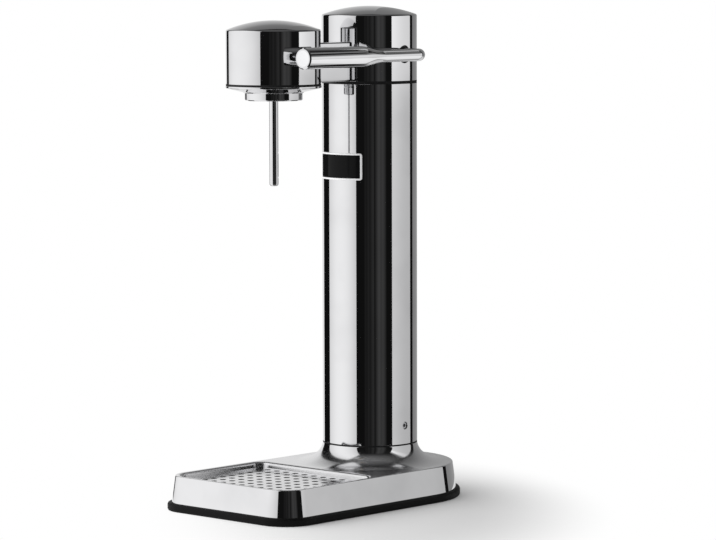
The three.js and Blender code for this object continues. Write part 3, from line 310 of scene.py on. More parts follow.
paper = floor_material()
floor_piece("floor_middle", 0, FLOOR_MIDDLE, paper)
floor_piece("floor_outer", FLOOR_MIDDLE, FLOOR_SIZE, paper).visible_glossy = False
print("the floor reaches", FLOOR_SIZE, "m")

# %% [markdown]
# A panel is a flat rectangle with a soft gradient across and another upwards, like a cloth lit from
# behind. Only reflections see it. Its light values were set by comparing renders with the photograph, and
# are brighter than the bands themselves, because the steel gives back about three quarters of the light.
# Straight in front hangs black cloth. Its uneven level gives the column's dark band faint upright streaks.

# %% Studio panels
tube_low, tube_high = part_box("column_tube")
AXIS_Y = (tube_low.y + tube_high.y) / 2
PANEL_FOOT = -0.5
EVEN = ((0, 1), (1, 1))
# Each panel has its start and end as (right, front), its top, its level, and its stops across and upwards.
PANELS = {
    "softbox_seen": ((-0.318, -0.116), (-0.318, 0.51), 0.78, 1.24,
                     ((0, 0.66), (0.25, 0.95), (0.6, 0.85), (1, 0.56)), ((0, 1), (0.75, 0.95), (1, 1))),
    "right_card": ((0.36, -0.14), (0.52, 0.375), 0.56, 1.05, ((0, 0.78), (1, 1)),
                   ((0, 0.66), (0.76, 0.66), (0.84, 1.2), (0.89, 1.2), (0.91, 1.2), (0.92, 0.24), (1, 0.22))),
    "grey_cloth": ((0.2, 1.08), (0.8, 0.94), 1.2, 0.06,
                   ((0, 0), (0.2, 0.55), (0.38, 1.1), (0.52, 0.5), (0.68, 1.05), (1, 0)), EVEN),
    "back_left_card": ((-0.62, -0.95), (0.05, -1.25), 1.6, 1, ((0, 0.97), (1, 0.85)),
                       ((0, 0.96), (0.43, 0.96), (0.57, 0.62), (0.72, 0.43), (0.8, 0.25), (1, 0.18))),
    "back_right_card": ((0.05, -1.25), (1, -0.75), 1.6, 0.38, ((0, 1), (1, 0.7)),
                        ((0, 1), (0.43, 1), (0.7, 0.55), (1, 0.45))),
    "black_cloth": ((-0.26, 1.02), (0.22, 1.1), 1.2, 0.026,
                    ((0, 0.1), (0.15, 0.7), (0.28, 0.25), (0.42, 0.9), (0.55, 0.3), (0.7, 0.8), (0.84, 1.1),
                     (1, 0.9)), EVEN),
}


def level_ramp(tree, place, stops):
    ramp = add_node(tree, "ShaderNodeValToRGB", {"Fac": place})
    marks = ramp.color_ramp.elements
    while len(marks) < len(stops):
        marks.new(1)
    for mark, (share, level) in zip(marks, stops):
        mark.position = share
        mark.color = (level, level, level, 1)
    ramp.color_ramp.interpolation = "B_SPLINE" if len(stops) > 2 else "EASE"
    return ramp.outputs["Color"]


def panel_material(name, level, across_stops, upward_stops):
    material, tree = start_glow(name)
    generated = add_node(tree, "ShaderNodeTexCoord").outputs["Generated"]
    place = add_node(tree, "ShaderNodeSeparateXYZ", {0: generated}).outputs
    sideways = level_ramp(tree, place["X"], across_stops)
    upward = level_ramp(tree, place["Z"], upward_stops)
    strength = math_node(tree, "MULTIPLY", math_node(tree, "MULTIPLY", sideways, upward), level)
    show_surface(tree, glow_node(tree, strength))
    return material


def only_in_reflections(piece):
    for ray in ("camera", "diffuse", "transmission", "volume_scatter", "shadow"):
        setattr(piece, f"visible_{ray}", False)


def card(name, corners, material):
    """A flat card that only reflections see."""
    mesh = bpy.data.meshes.new(name)
    mesh.from_pydata(corners, [], [range(len(corners))])
    piece = add_object(name, mesh, material)
    only_in_reflections(piece)
    return piece


def from_axis(right, front, height=0.0):
    return Vector((0, AXIS_Y, height)) + to_right * right + to_front * front


def panel(name, start, end, top, level, across_stops, upward_stops):
    """An upright panel from start to end, each a distance right and in front of the column."""
    first = from_axis(*start)
    along = from_axis(*end) - first
    width = along.length
    corners = [(0, 0, PANEL_FOOT), (width, 0, PANEL_FOOT), (width, 0, top), (0, 0, top)]
    piece = card(name, corners, panel_material(name, level, across_stops, upward_stops))
    turned = Matrix((along.normalized(), upright.cross(along.normalized()), upright)).transposed()
    piece.matrix_world = Matrix.Translation(first) @ turned.to_4x4()


for name, values in PANELS.items():
    panel(name, *values)
print("panels:", list(PANELS))

# %% [markdown]
# Everything that no panel covers is dark cloth, a little greyer high up. It is a large dome round the
# whole set that only reflections see, and its level rises with height. The sphere operator can give its
# faces in another order on each run, so they are sorted, and the mesh is the same every time.

# %% The dark room round the panels
DOME_RADIUS = 3
DOME_STEPS = 48
DOME_RINGS = 24
DOME_LEVEL = 0.17
DOME_STOPS = ((0, 0.02), (0.85, 0.03), (0.93, 0.35), (1, 1))
RING_WEIGHT = 1000


def ring_then_turn(face):
    """A number that grows with a face's height, and within one ring with its turn."""
    centre = face.calc_center_median()
    return centre.z * RING_WEIGHT + math.atan2(centre.y, centre.x)


def dark_dome():
    bm = bmesh.new()
    bmesh.ops.create_uvsphere(bm, u_segments=DOME_STEPS, v_segments=DOME_RINGS, radius=DOME_RADIUS)
    bm.faces.sort(key=ring_then_turn)
    material = panel_material("dark cloth", DOME_LEVEL, EVEN, DOME_STOPS)
    only_in_reflections(add_object("dark_dome", mesh_from(bm, "dark_dome"), material))


dark_dome()
print("the dome is", 2 * DOME_RADIUS, "m across")

# %% [markdown]
# The lamp that lights the paper and the dark pieces is the same soft light on the left, as an area lamp.
# Reflections already see its panel, so the lamp itself is hidden from them. Its height and width give
# the soft shadow that falls to the right of the base.

# %% The lamp
LAMP_LEVEL = 1.8
LAMP_WIDTH = 0.63
LAMP_HEIGHT = 0.76
LAMP_RIGHT = -0.318
LAMP_FRONT = 0.197


def make_lamp():
    data = bpy.data.lights.new("soft_light", "AREA")
    data.shape = "RECTANGLE"
    data.size = LAMP_WIDTH
    data.size_y = LAMP_HEIGHT
    data.energy = LAMP_LEVEL * math.pi * LAMP_WIDTH * LAMP_HEIGHT
    lamp = bpy.data.objects.new("soft_light", data)
    facing = Matrix((to_front, upright, -to_right)).transposed()
    place = from_axis(LAMP_RIGHT, LAMP_FRONT, LAMP_HEIGHT / 2)
    lamp.matrix_world = Matrix.Translation(place) @ facing.to_4x4()
    lamp.visible_glossy = False
    lamp.visible_camera = False
    scene.collection.objects.link(lamp)


make_lamp()
print("the lamp is", LAMP_WIDTH, "by", LAMP_HEIGHT, "m")

# %% [markdown]
# Real steel is never a perfect mirror. Under a close look it has hairline scratches from wiping, faint
# smudges where hands touch it, and a very slight waviness left by polishing. Each effect is a node group
# built once, and every material that shows it uses its own amounts.

# %% Shared effects
SCRATCH_INPUTS = {"Length": 14, "Density": 1500}
SCRATCH_ANGLES = (0.35, 1.3)
SCRATCH_START, SCRATCH_FULL = 0.72, 0.82
SMUDGE_INPUTS = {"Scale": 24}
SMUDGE_DETAIL = 3
SMUDGE_START, SMUDGE_FULL = 0.45, 0.75
WAVE_INPUTS = {"Scale": 9, "Height": 1}
DUST_INPUTS = {"Scale": 900, "Size": 0.03}
DUST_TILT = 0.4
GRAIN_INPUTS = {"Scale": 900}
WEAR_INPUTS = {"Start": 0.52, "Full": 0.6}


def scratches_group():
    """Thin scratches in two directions, as a mask from 0 to 1."""
    tree, inputs, outputs = new_group("hairline scratches", SCRATCH_INPUTS, ["Mask"])
    place = object_place(tree)
    size = {"X": inputs["Density"], "Y": inputs["Density"], "Z": inputs["Length"]}
    masks = []
    for angle in SCRATCH_ANGLES:
        turned = add_node(tree, "ShaderNodeVectorRotate", {"Vector": place, "Angle": angle})
        stretch = add_node(tree, "ShaderNodeCombineXYZ", size)
        scaled = add_node(tree, "ShaderNodeVectorMath", {0: turned.outputs[0], 1: stretch.outputs[0]},
                          operation="MULTIPLY")
        noise = add_node(tree, "ShaderNodeTexNoise", {"Vector": scaled.outputs[0], "Scale": 1})
        masks.append(remap(tree, noise.outputs["Fac"], SCRATCH_START, SCRATCH_FULL, 0, 1))
    tree.links.new(math_node(tree, "MAXIMUM", *masks), outputs["Mask"])
    return tree


def smudges_group():
    """Soft cloudy patches, as a mask from 0 to 1."""
    tree, inputs, outputs = new_group("smudges", SMUDGE_INPUTS, ["Mask"])
    noise = add_node(tree, "ShaderNodeTexNoise",
                     {"Vector": object_place(tree), "Detail": SMUDGE_DETAIL, "Scale": inputs["Scale"]})
    tree.links.new(remap(tree, noise.outputs["Fac"], SMUDGE_START, SMUDGE_FULL, 0, 1), outputs["Mask"])
    return tree


def waviness_group():
    """Slow waves of the surface, as a height."""
    tree, inputs, outputs = new_group("polished waviness", WAVE_INPUTS, ["Height"])
    noise = add_node(tree, "ShaderNodeTexNoise",
                     {"Vector": object_place(tree), "Detail": 0, "Scale": inputs["Scale"]})
    tree.links.new(math_node(tree, "MULTIPLY", noise.outputs["Fac"], inputs["Height"]), outputs["Height"])
    return tree


def dust_group():
    """Small specks that settle on faces that look up, as a mask from 0 to 1."""
    tree, inputs, outputs = new_group("dust", DUST_INPUTS, ["Mask"])
    cells = add_node(tree, "ShaderNodeTexVoronoi", {"Vector": object_place(tree), "Scale": inputs["Scale"]})
    speck = math_node(tree, "LESS_THAN", cells.outputs["Distance"], inputs["Size"])
    level = remap(tree, facing_up(tree), DUST_TILT, 1, 0, 1)
    tree.links.new(math_node(tree, "MULTIPLY", speck, level), outputs["Mask"])
    return tree


def grain_group():
    """The fine grain of a moulded or cast surface, as a height from 0 to 1."""
    tree, inputs, outputs = new_group("moulded grain", GRAIN_INPUTS, ["Height"])
    cells = add_node(tree, "ShaderNodeTexVoronoi", {"Vector": object_place(tree), "Scale": inputs["Scale"]},
                     feature="SMOOTH_F1")
    tree.links.new(cells.outputs["Distance"], outputs["Height"])
    return tree


def wear_group():
    """Lighter edges where handling has rubbed the surface, as a mask from 0 to 1."""
    tree, inputs, outputs = new_group("edge wear", WEAR_INPUTS, ["Mask"])
    pointed = add_node(tree, "ShaderNodeNewGeometry").outputs["Pointiness"]
    tree.links.new(remap(tree, pointed, inputs["Start"], inputs["Full"], 0, 1), outputs["Mask"])
    return tree


scratches = scratches_group()
smudges = smudges_group()
waviness = waviness_group()
dust = dust_group()
grain = grain_group()
wear = wear_group()
print("shared effects:", [tree.name for tree in bpy.data.node_groups])

# %% [markdown]
# The polished steel is a metal with very low roughness. Smudges and scratches raise the roughness by a
# few hundredths, which is all that the eye sees on a real mirror finish, and the waviness bends
# reflections a little. The colour is the plain grey of stainless steel.

# %% Mixing helper and the metals
COLOUR_A, COLOUR_B, COLOUR_RESULT = 6, 7, 2
DUST_ROUGHNESS = 0.2
TOP_STARTS_AT, TOP_FULL_AT = 0.25, 0.7
POLISHED = ((0.70, 0.70, 0.71), (0.76, 0.76, 0.77))
PRESSED = ((0.66, 0.66, 0.67), (0.74, 0.74, 0.75))
FACED = ((0.80, 0.80, 0.81), (0.93, 0.93, 0.94))
# Near-black steel for the sump under the grid and the walls of the grid's holes: painted shade for hollows
# that little light reaches.
SHADE_PAINTED_GREYS = ((0.05, 0.05, 0.052), (0.09, 0.09, 0.092))
PLATED = ((0.5, 0.5, 0.51), (0.66, 0.66, 0.68))
BRASS = ((0.6, 0.44, 0.2), (0.78, 0.62, 0.33))
# Each metal has its dark and light colour, its roughness, what smudges and scratches add to that, the
# height of its waves, and how much more its faces that look up are blurred.
METALS = {
    "mirror steel": (POLISHED, 0.025, 0.03, 0.03, 0.00002, 0),
    "base steel": (POLISHED, 0.03, 0.03, 0.03, 0.00002, 0.13),
    "recess steel": (PRESSED, 0.2, 0.06, 0.05, 0, 0),
    "faced steel": (FACED, 0.12, 0.14, 0.1, 0, 0),
    "unpolished steel": (SHADE_PAINTED_GREYS, 0.5, 0.1, 0.1, 0, 0),
    "pressed steel": (PRESSED, 0.12, 0.06, 0.05, 0.00003, 0),
    "plated steel": (PLATED, 0.22, 0.12, 0.1, 0, 0),
    "turned brass": (BRASS, 0.2, 0.15, 0.1, 0, 0),
}


def mix_colours(tree, share, low, high):
    node = add_node(tree, "ShaderNodeMix", {COLOUR_A: (*low, 1), COLOUR_B: (*high, 1)}, data_type="RGBA")
    tree.links.new(share, node.inputs["Factor"])
    return node.outputs[COLOUR_RESULT]


def bump_normal(tree, shader, height, distance):
    bump = add_node(tree, "ShaderNodeBump", {"Height": height, "Distance": distance})
    tree.links.new(bump.outputs[0], shader.inputs["Normal"])


def metal(name, tones, plain, smudged, scratched, wave_height, top_blur):
    """A worn metal. The roughness of faces that look up grows by top_blur."""
    material, tree, shader = start_material(name)
    dark, light = tones
    patches = from_group(tree, smudges)
    hairs = from_group(tree, scratches)
    specks = from_group(tree, dust)
    shader.inputs["Metallic"].default_value = 1
    marks = math_node(tree, "MAXIMUM", patches, hairs)
    tree.links.new(mix_colours(tree, marks, light, dark), shader.inputs["Base Color"])
    rough = plain
    for mask, added in ((patches, smudged), (hairs, scratched), (specks, DUST_ROUGHNESS)):
        rough = math_node(tree, "ADD", math_node(tree, "MULTIPLY", mask, added), rough)
    if top_blur:
        blur = remap(tree, facing_up(tree), TOP_STARTS_AT, TOP_FULL_AT, 0, top_blur)
        rough = math_node(tree, "ADD", blur, rough)
    tree.links.new(rough, shader.inputs["Roughness"])
    if wave_height:
        bump_normal(tree, shader, from_group(tree, waviness), wave_height)
    return material


mirror_steel, base_steel, recess_steel, faced_steel, shade_painted_steel, pressed_steel, plated_steel, turned_brass = (
    metal(name, *values) for name, values in METALS.items())
print("metals:", list(METALS))

# %% [markdown]
# Cast aluminium, rubber, the plastics and powder coat are all grained. They share one grain group, whose
# scale and bump depth tell them apart. All are lighter in smudged patches and along their worn edges.

# %% Grained materials
PATCH_SCALE = 60
PATCH_SHARE = 0.4
# Each has its dark and light colour, its lowest and highest roughness, the scale and depth of its grain,
# how metallic it is, and how much it shines.
GRAINED = {
    "cast aluminium": ((0.5, 0.51, 0.52), (0.7, 0.71, 0.72), 0.4, 0.6, 700, 0.0001, 1, 0.5),
    "moulded rubber": ((0.005, 0.005, 0.005), (0.014, 0.014, 0.0145), 0.5, 0.7, 1400, 0.00005, 0, 0.08),
    "satin plastic": ((0.006, 0.006, 0.0065), (0.018, 0.018, 0.019), 0.35, 0.5, 1100, 0.00004, 0, 0.25),
    "gloss black": ((0.002, 0.002, 0.0022), (0.005, 0.005, 0.0052), 0.1, 0.2, 300, 0.000004, 0, 0.07),
    "powder coat": ((0.45, 0.47, 0.49), (0.6, 0.62, 0.64), 0.3, 0.42, 800, 0.00006, 0, 0.5),
    # A matt pale white in place of the badge border's steel: a painted highlight along its edge.
    "pale rim": ((0.78, 0.78, 0.79), (0.9, 0.9, 0.9), 0.25, 0.4, 1500, 0.000006, 0, 0.5),
}


def grained(name, dark, light, rough_low, rough_high, grain_scale, grain_depth, metallic, shine):
    material, tree, shader = start_material(name)
    shader.inputs["Specular IOR Level"].default_value = shine
    shader.inputs["Metallic"].default_value = metallic
    patches = from_group(tree, smudges, Scale=PATCH_SCALE)
    faint = math_node(tree, "MULTIPLY", patches, PATCH_SHARE)
    tint = math_node(tree, "MAXIMUM", faint, from_group(tree, wear))
    tree.links.new(mix_colours(tree, tint, dark, light), shader.inputs["Base Color"])
    tree.links.new(remap(tree, patches, 0, 1, rough_low, rough_high), shader.inputs["Roughness"])
    bump_normal(tree, shader, from_group(tree, grain, Scale=grain_scale), grain_depth)
    return material


cast_metal, foot_rubber, satin_plastic, gloss_black, powder_coat, rim_painted_as_highlight = (
    grained(name, *values) for name, values in GRAINED.items())
SLOT_MATERIALS = {
    "polished_steel": mirror_steel,
    "plain_steel": plated_steel,
    "cast_aluminium": cast_metal,
    "brass": turned_brass,
    "black_rubber": foot_rubber,
    "black_plastic": satin_plastic,
    "black_gloss": gloss_black,
    "cylinder_paint": powder_coat,
}
print("slots dressed:", sorted(SLOT_MATERIALS))

# %% [markdown]
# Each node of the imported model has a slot, which the record or its material's name tells. It gets the
# finished material of that slot first. Those that show from outside are mostly replaced further down.

# %% Dress the CAD nodes
def slot_of(node):
    for entry in frame["record"]["materials"]:
        if node.name in entry.get("nodes", []):
            return entry["slot"]
    names = [material.name for material in node.data.materials if material]
    return next((slot for slot in SLOT_MATERIALS if any(slot in name for name in names)), None)


node_slots = {name: slot_of(node) for name, node in nodes.items()}
for name, node in nodes.items():
    node.data.materials.clear()
    node.data.materials.append(SLOT_MATERIALS[node_slots[name]])
print(len(nodes), "nodes dressed")

# %% [markdown]
# Real steel edges are slightly rounded, and the thin line of light along them is what makes an object look
# solid. So a section is written as its corners, each with its own fillet, and this helper puts an arc of
# the right radius into each corner.

# %% Sections with rounded corners
FILLET_STEPS = 6
EDGE_STEPS = 3
TURNED_EDGE_STEPS = 4
EDGE_PARTS = 3


def arc(centre, radius, start, stop, steps):
    angles = [start + (stop - start) * i / steps for i in range(steps + 1)]
    return [(centre[0] + radius * math.cos(a), centre[1] + radius * math.sin(a)) for a in angles]


def fillet_arc(before, corner, after, radius, steps):
    """The points of an arc that rounds one corner."""
    back = (before - corner).normalized()
    ahead = (after - corner).normalized()
    half = back.angle(ahead) / 2
    start = corner + back * (radius / math.tan(half))
    stop = corner + ahead * (radius / math.tan(half))
    centre = corner + (back + ahead).normalized() * (radius / math.sin(half))
    first, last = start - centre, stop - centre
    sweep = math.atan2(first.x * last.y - first.y * last.x, first.dot(last))
    begin = math.atan2(first.y, first.x)
    return arc(centre, radius, begin, begin + sweep, steps)


def rounded(corners, closed=False, steps=FILLET_STEPS):
    """Corners as (u, v, fillet radius) in order, and the points of the section through them."""
    points = []
    count = len(corners)
    for i, (u, v, fillet) in enumerate(corners):
        at_end = not closed and i in (0, count - 1)
        if fillet == 0 or at_end:
            points.append((u, v))
            continue
        before = Vector(corners[i - 1][:2])
        after = Vector(corners[(i + 1) % count][:2])
        points += fillet_arc(before, Vector((u, v)), after, fillet, steps)
    return points


def rounded_rectangle(half_width, half_height, corner):
    """Points round a rectangle about the origin, with an arc at each corner."""
    points = []
    for index, (right, up) in enumerate(((1, 1), (-1, 1), (-1, -1), (1, -1))):
        centre = (right * (half_width - corner), up * (half_height - corner))
        points += arc(centre, corner, QUARTER * index, QUARTER * index + QUARTER, FILLET_STEPS)
    return points


def split_sides(points, steps_of):
    """A closed outline with each side cut into steps_of(start, end) equal parts."""
    split = []
    for start, end in zip(points, points[1:] + points[:1]):
        steps = steps_of(start, end)
        split += [tuple(a + (b - a) * i / steps for a, b in zip(start, end)) for i in range(steps)]
    return split


# %% [markdown]
# Four ways of making a surface cover the whole object: turning a section round an axis, running it along
# an outline, sweeping a circle along a path, and filling a flat face between loops. Each adds
# its faces to a mesh under work, so one piece can use several of them.

# %% Making surfaces
TURN_STEPS = 192
SMALL_TURN_STEPS = 72


def ring_pairs(rings, closed):
    return list(zip(rings, rings[1:])) + ([(rings[-1], rings[0])] if closed else [])


def join_rings(bm, rings, closed=False):
    for first, second in ring_pairs(rings, closed):
        bridge_rings(bm, first, second)


def around_z(centre_y, centre_x=0.0):
    return lambda r, h, a: (centre_x + r * math.cos(a), centre_y + r * math.sin(a), h)


def around_x(centre_y, centre_z):
    return lambda r, h, a: (h, centre_y + r * math.cos(a), centre_z + r * math.sin(a))


def turn_section(bm, section, place, steps=TURN_STEPS, closed=True):
    """Turns points (radius, height) round an axis. A point on the axis closes the form there."""
    rings = []
    for radius, height in section:
        if radius == 0:
            rings.append(bm.verts.new(place(0, height, 0)))
        else:
            rings.append(add_ring(bm, [place(radius, height, math.tau * i / steps) for i in range(steps)]))
    for first, second in ring_pairs(rings, closed):
        if isinstance(first, list) and isinstance(second, list):
            bridge_rings(bm, first, second)
        elif isinstance(first, list) or isinstance(second, list):
            ring, tip = (first, second) if isinstance(first, list) else (second, first)
            for i in range(steps):
                bm.faces.new((ring[i], ring[(i + 1) % steps], tip))
    return rings


def run_section(bm, section, outline, closed=False):
    """Runs points (inset, height) along an outline that can be drawn at any inset."""
    rings = [add_ring(bm, [(x, y, height) for x, y in outline(inset)]) for inset, height in section]
    join_rings(bm, rings, closed)
    return rings


def ring_edges(bm, ring):
    edges = []
    for i, vert in enumerate(ring):
        after = ring[(i + 1) % len(ring)]
        edges.append(bm.edges.get((vert, after)) or bm.edges.new((vert, after)))
    return edges


def fill_between(bm, loops):
    """A flat face between an outer loop and the loops inside it."""
    edges = [edge for loop in loops for edge in ring_edges(bm, loop)]
    bmesh.ops.triangle_fill(bm, use_beauty=True, use_dissolve=False, edges=edges)


# %% [markdown]
# A finished piece gets smooth shading with true corners kept sharp. Its normals are weighted by face size,
# so that a flat face stays flat right up to its rounded edge, as ground and polished metal does. The
# helper also compares the piece's box with the box of the solid that it stands for.

# %% Finishing a piece
SHARP_ANGLE = math.radians(38)
MERGE_DISTANCE = 0.000002


def to_object(name, bm, material, outward=True):
    bmesh.ops.remove_doubles(bm, verts=bm.verts, dist=MERGE_DISTANCE)
    if outward:
        bmesh.ops.recalc_face_normals(bm, faces=bm.faces)
    for face in bm.faces:
        face.smooth = True
    for edge in bm.edges:
        if not edge.is_manifold or edge.calc_face_angle(0) > SHARP_ANGLE:
            edge.smooth = False
    return add_object(name, mesh_from(bm, name), material)


def finish_piece(piece, node, body="stand", weighted=True):
    if weighted:
        piece.modifiers.new("even shading", "WEIGHTED_NORMAL").keep_sharp = True
    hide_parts(node)
    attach(piece, body)
    low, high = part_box(node)
    bpy.context.view_layer.update()
    corners = [piece.matrix_world @ Vector(corner) for corner in piece.bound_box]
    off = max(
        abs(limit(corner[axis] for corner in corners) - goal[axis])
        for limit, goal in ((min, low), (max, high)) for axis in range(len(low))
    )
    return piece


# %% [markdown]
# Seen from above, the base is a half circle at the back and a straight front with rounded corners. The
# tray's recess keeps to that front and its sides further in, and ends in a straight back. Both outlines
# are functions of an inset, so every wall, ledge and edge along them is drawn from the same few values.

# %% Outlines of the base and the tray
BASE_HALF_WIDTH = base_high.x
BASE_FRONT = base_low.y
BASE_CORNER = 0.027
TRAY_RIM = 0.0097
TRAY_HALF_WIDTH = BASE_HALF_WIDTH - TRAY_RIM
TRAY_BACK = AXIS_Y - 0.0646
TRAY_BACK_CORNER = 0.012
REAR_STEPS = 128
CORNER_STEPS = 28


def rounded_outline(corners):
    """Corners as (centre x, centre y, radius, start angle, stop angle, steps), anticlockwise."""
    points = []
    for x, y, radius, start, stop, steps in corners:
        points += arc((x, y), radius, start, stop, steps)
    return points


def front_corners(radius):
    """The two front corners. The base and the tray turn them about the same centres."""
    x, y = BASE_HALF_WIDTH - BASE_CORNER, BASE_FRONT + BASE_CORNER
    return [(-x, y, radius, math.pi, math.pi + QUARTER, CORNER_STEPS),
            (x, y, radius, math.pi + QUARTER, math.tau, CORNER_STEPS)]


def base_outline(inset):
    rear = (0, AXIS_Y, BASE_HALF_WIDTH - inset, 0, math.pi, REAR_STEPS)
    return rounded_outline([rear] + front_corners(BASE_CORNER - inset))


def tray_outline(inset):
    x, y = TRAY_HALF_WIDTH - TRAY_BACK_CORNER, TRAY_BACK - TRAY_BACK_CORNER
    radius = TRAY_BACK_CORNER - inset
    back = [(x, y, radius, 0, QUARTER, CORNER_STEPS), (-x, y, radius, QUARTER, math.pi, CORNER_STEPS)]
    return rounded_outline(back + front_corners(BASE_CORNER - TRAY_RIM - inset))


# %% [markdown]
# The base shell is one pressed and welded steel cover. Its side leans in a little, its top is flat, the
# foot of the column grows out of it in a soft flare, and the tray is sunk into it with a ledge for the
# grid. It is built as one skin and then given its sheet thickness by a Solidify modifier.

# %% Base shell
shell_low, shell_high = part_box("base_shell")
SHEET = 0.0012
SHELL_FOOT_INSET = 0.0035
SHELL_TOP_INSET = 0.0073
SHELL_SIDE_INSET = 0.0065
EDGE_FILLET = 0.0012
TOP_Z = 0.0287
SHELL_FOOT_Z = shell_low.z
FLARE_TOP_Z = shell_high.z
FLARE_TOP_RADIUS = 0.04
FLARE_FOOT_RADIUS = 0.063
FLARE_PULLS = ((0.04069, 0.03744), (0.04874, 0.03004))
FLARE_STEPS = 28
FLARE_RIM = 0.0384
LIP_FILLET = 0.0028
LIP_INSET = 0.0015
LAND_END = 0.0011
LEDGE_EDGE = 0.0006
TRAY_DRAFT = 0.0023
LEDGE_Z = 0.0223
LEDGE_INSET = 0.005
SUMP_Z = 0.012
SUMP_FILLET = 0.0015
WALL_FILLET = 0.0009
SEAM_FILLET = 0.0003
RECESS_SLOT, SUMP_SHADE_SLOT = 1, 2


def curve_points(start, pulls, end, steps):
    """Points of a cubic curve from start to end."""
    corners = [Vector(point) for point in (start, *pulls, end)]
    points = []
    for i in range(steps + 1):
        t = i / steps
        row = corners
        while len(row) > 1:
            row = [a.lerp(b, t) for a, b in zip(row, row[1:])]
        points.append(tuple(row[0]))
    return points


def make_base_shell():
    bm = bmesh.new()
    side = rounded([(SHELL_FOOT_INSET, SHELL_FOOT_Z, 0), (SHELL_SIDE_INSET, TOP_Z, EDGE_FILLET),
                    (SHELL_TOP_INSET + EDGE_FILLET, TOP_Z, 0)])
    outer = run_section(bm, side, base_outline)
    wall = rounded([(-LAND_END, TOP_Z, 0), (LIP_INSET, TOP_Z, LIP_FILLET),
                    (TRAY_DRAFT, LEDGE_Z, WALL_FILLET), (LEDGE_INSET, LEDGE_Z, LEDGE_EDGE),
                    (LEDGE_INSET, SUMP_Z, SUMP_FILLET), (LEDGE_INSET + 2 * SUMP_FILLET, SUMP_Z, 0)])
    outside_faces = set(bm.faces)
    tray = run_section(bm, wall, tray_outline)
    # The sump's walls and floor below the ledge get the near-black steel, which is painted shade under the
    # grid.
    for face in set(bm.faces) - outside_faces:
        height = face.calc_center_median().z
        face.material_index = SUMP_SHADE_SLOT if height < LEDGE_Z - LEDGE_EDGE else RECESS_SLOT
    flare = curve_points((FLARE_FOOT_RADIUS, TOP_Z), FLARE_PULLS[::-1],
                         (FLARE_TOP_RADIUS, FLARE_TOP_Z), FLARE_STEPS)
    rim = [(FLARE_TOP_RADIUS - SEAM_FILLET, FLARE_TOP_Z), (FLARE_RIM, FLARE_TOP_Z)]
    flare[-1] = (FLARE_TOP_RADIUS, FLARE_TOP_Z - SEAM_FILLET)
    foot = turn_section(bm, flare + rim, around_z(AXIS_Y), closed=False)
    fill_between(bm, [outer[-1], tray[0], foot[0]])
    bm.faces.new(tray[-1]).material_index = SUMP_SHADE_SLOT
    bmesh.ops.remove_doubles(bm, verts=bm.verts, dist=MERGE_DISTANCE)
    bmesh.ops.recalc_face_normals(bm, faces=bm.faces)
    floor_face = max(bm.faces, key=lambda face: face.calc_area())
    if floor_face.normal.z < 0:
        bmesh.ops.reverse_faces(bm, faces=bm.faces)
    piece = to_object("base_cover", bm, base_steel, outward=False)
    piece.data.materials.append(recess_steel)
    piece.data.materials.append(shade_painted_steel)
    thick = piece.modifiers.new("sheet", "SOLIDIFY")
    thick.thickness = SHEET
    thick.offset = -1
    return finish_piece(piece, "base_shell")


make_base_shell()

# %% [markdown]
# The rubber foot is a soft moulded ring under the steel. It stands out further than the shell, and its top
# shows as a narrow black ledge all the way round. Its section has rounded corners, as moulded rubber has.

# %% Rubber foot
FOOT_SECTION = (
    (0.0006, 0, 0.0004), (0, 0.0012, 0.0004), (0, 0.0048, 0.0005), (0.0006, 0.006, 0.0006),
    (0.0018, 0.0066, 0.0006), (0.012, 0.0066, 0), (0.012, 0, 0),
)


def make_foot():
    bm = bmesh.new()
    run_section(bm, rounded(FOOT_SECTION, closed=True, steps=EDGE_STEPS), base_outline, closed=True)
    return finish_piece(to_object("foot_ring", bm, foot_rubber), "rubber_foot")


make_foot()

# %% [markdown]
# The drip grid is a flat polished plate with ten by nine round holes. Punched holes have a slightly broken
# edge that catches light, so each hole starts with a small chamfer. The flat faces are filled between the
# outline and all of the hole loops at once.

# %% Drip grid
grid_low, grid_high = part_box("drip_grid")
GRID_INSET = TRAY_HALF_WIDTH - grid_high.x
GRID_EDGE = 0.0003
HOLE_RADIUS = 0.0025
HOLE_PITCH = 0.0107
HOLE_EDGE = 0.00025
HOLE_STEPS = 36
HOLE_COLUMNS = 10
HOLE_ROWS = 9
HOLE_SHADE_SLOT = 1


def hole_centres():
    middle_y = (grid_low.y + grid_high.y) / 2
    for row in range(HOLE_ROWS):
        for column in range(HOLE_COLUMNS):
            yield ((column - (HOLE_COLUMNS - 1) / 2) * HOLE_PITCH,
                   middle_y + (row - (HOLE_ROWS - 1) / 2) * HOLE_PITCH)


def make_grid():
    bm = bmesh.new()
    low, high = grid_low.z, grid_high.z
    edge = rounded([(GRID_INSET + 2 * GRID_EDGE, low, 0), (GRID_INSET, low, GRID_EDGE),
                    (GRID_INSET, high, GRID_EDGE), (GRID_INSET + 2 * GRID_EDGE, high, 0)],
                   steps=EDGE_STEPS)
    rim = run_section(bm, edge, tray_outline)
    below, on_top = [rim[0]], [rim[-1]]
    for x, y in hole_centres():
        section = [(HOLE_RADIUS, low), (HOLE_RADIUS, high - HOLE_EDGE), (HOLE_RADIUS + HOLE_EDGE, high)]
        plain_faces = len(bm.faces)
        rings = turn_section(bm, section, around_z(y, x), HOLE_STEPS, closed=False)
        bm.faces.ensure_lookup_table()
        # The hole walls get the near-black steel, which is painted shade inside the holes.
        for face in bm.faces[plain_faces:]:
            face.material_index = HOLE_SHADE_SLOT
        below.append(rings[0])
        on_top.append(rings[-1])
    fill_between(bm, below)
    fill_between(bm, on_top)
    piece = to_object("grid_plate", bm, pressed_steel)
    piece.data.materials.append(shade_painted_steel)
    return finish_piece(piece, "drip_grid", "drip_grid")


make_grid()

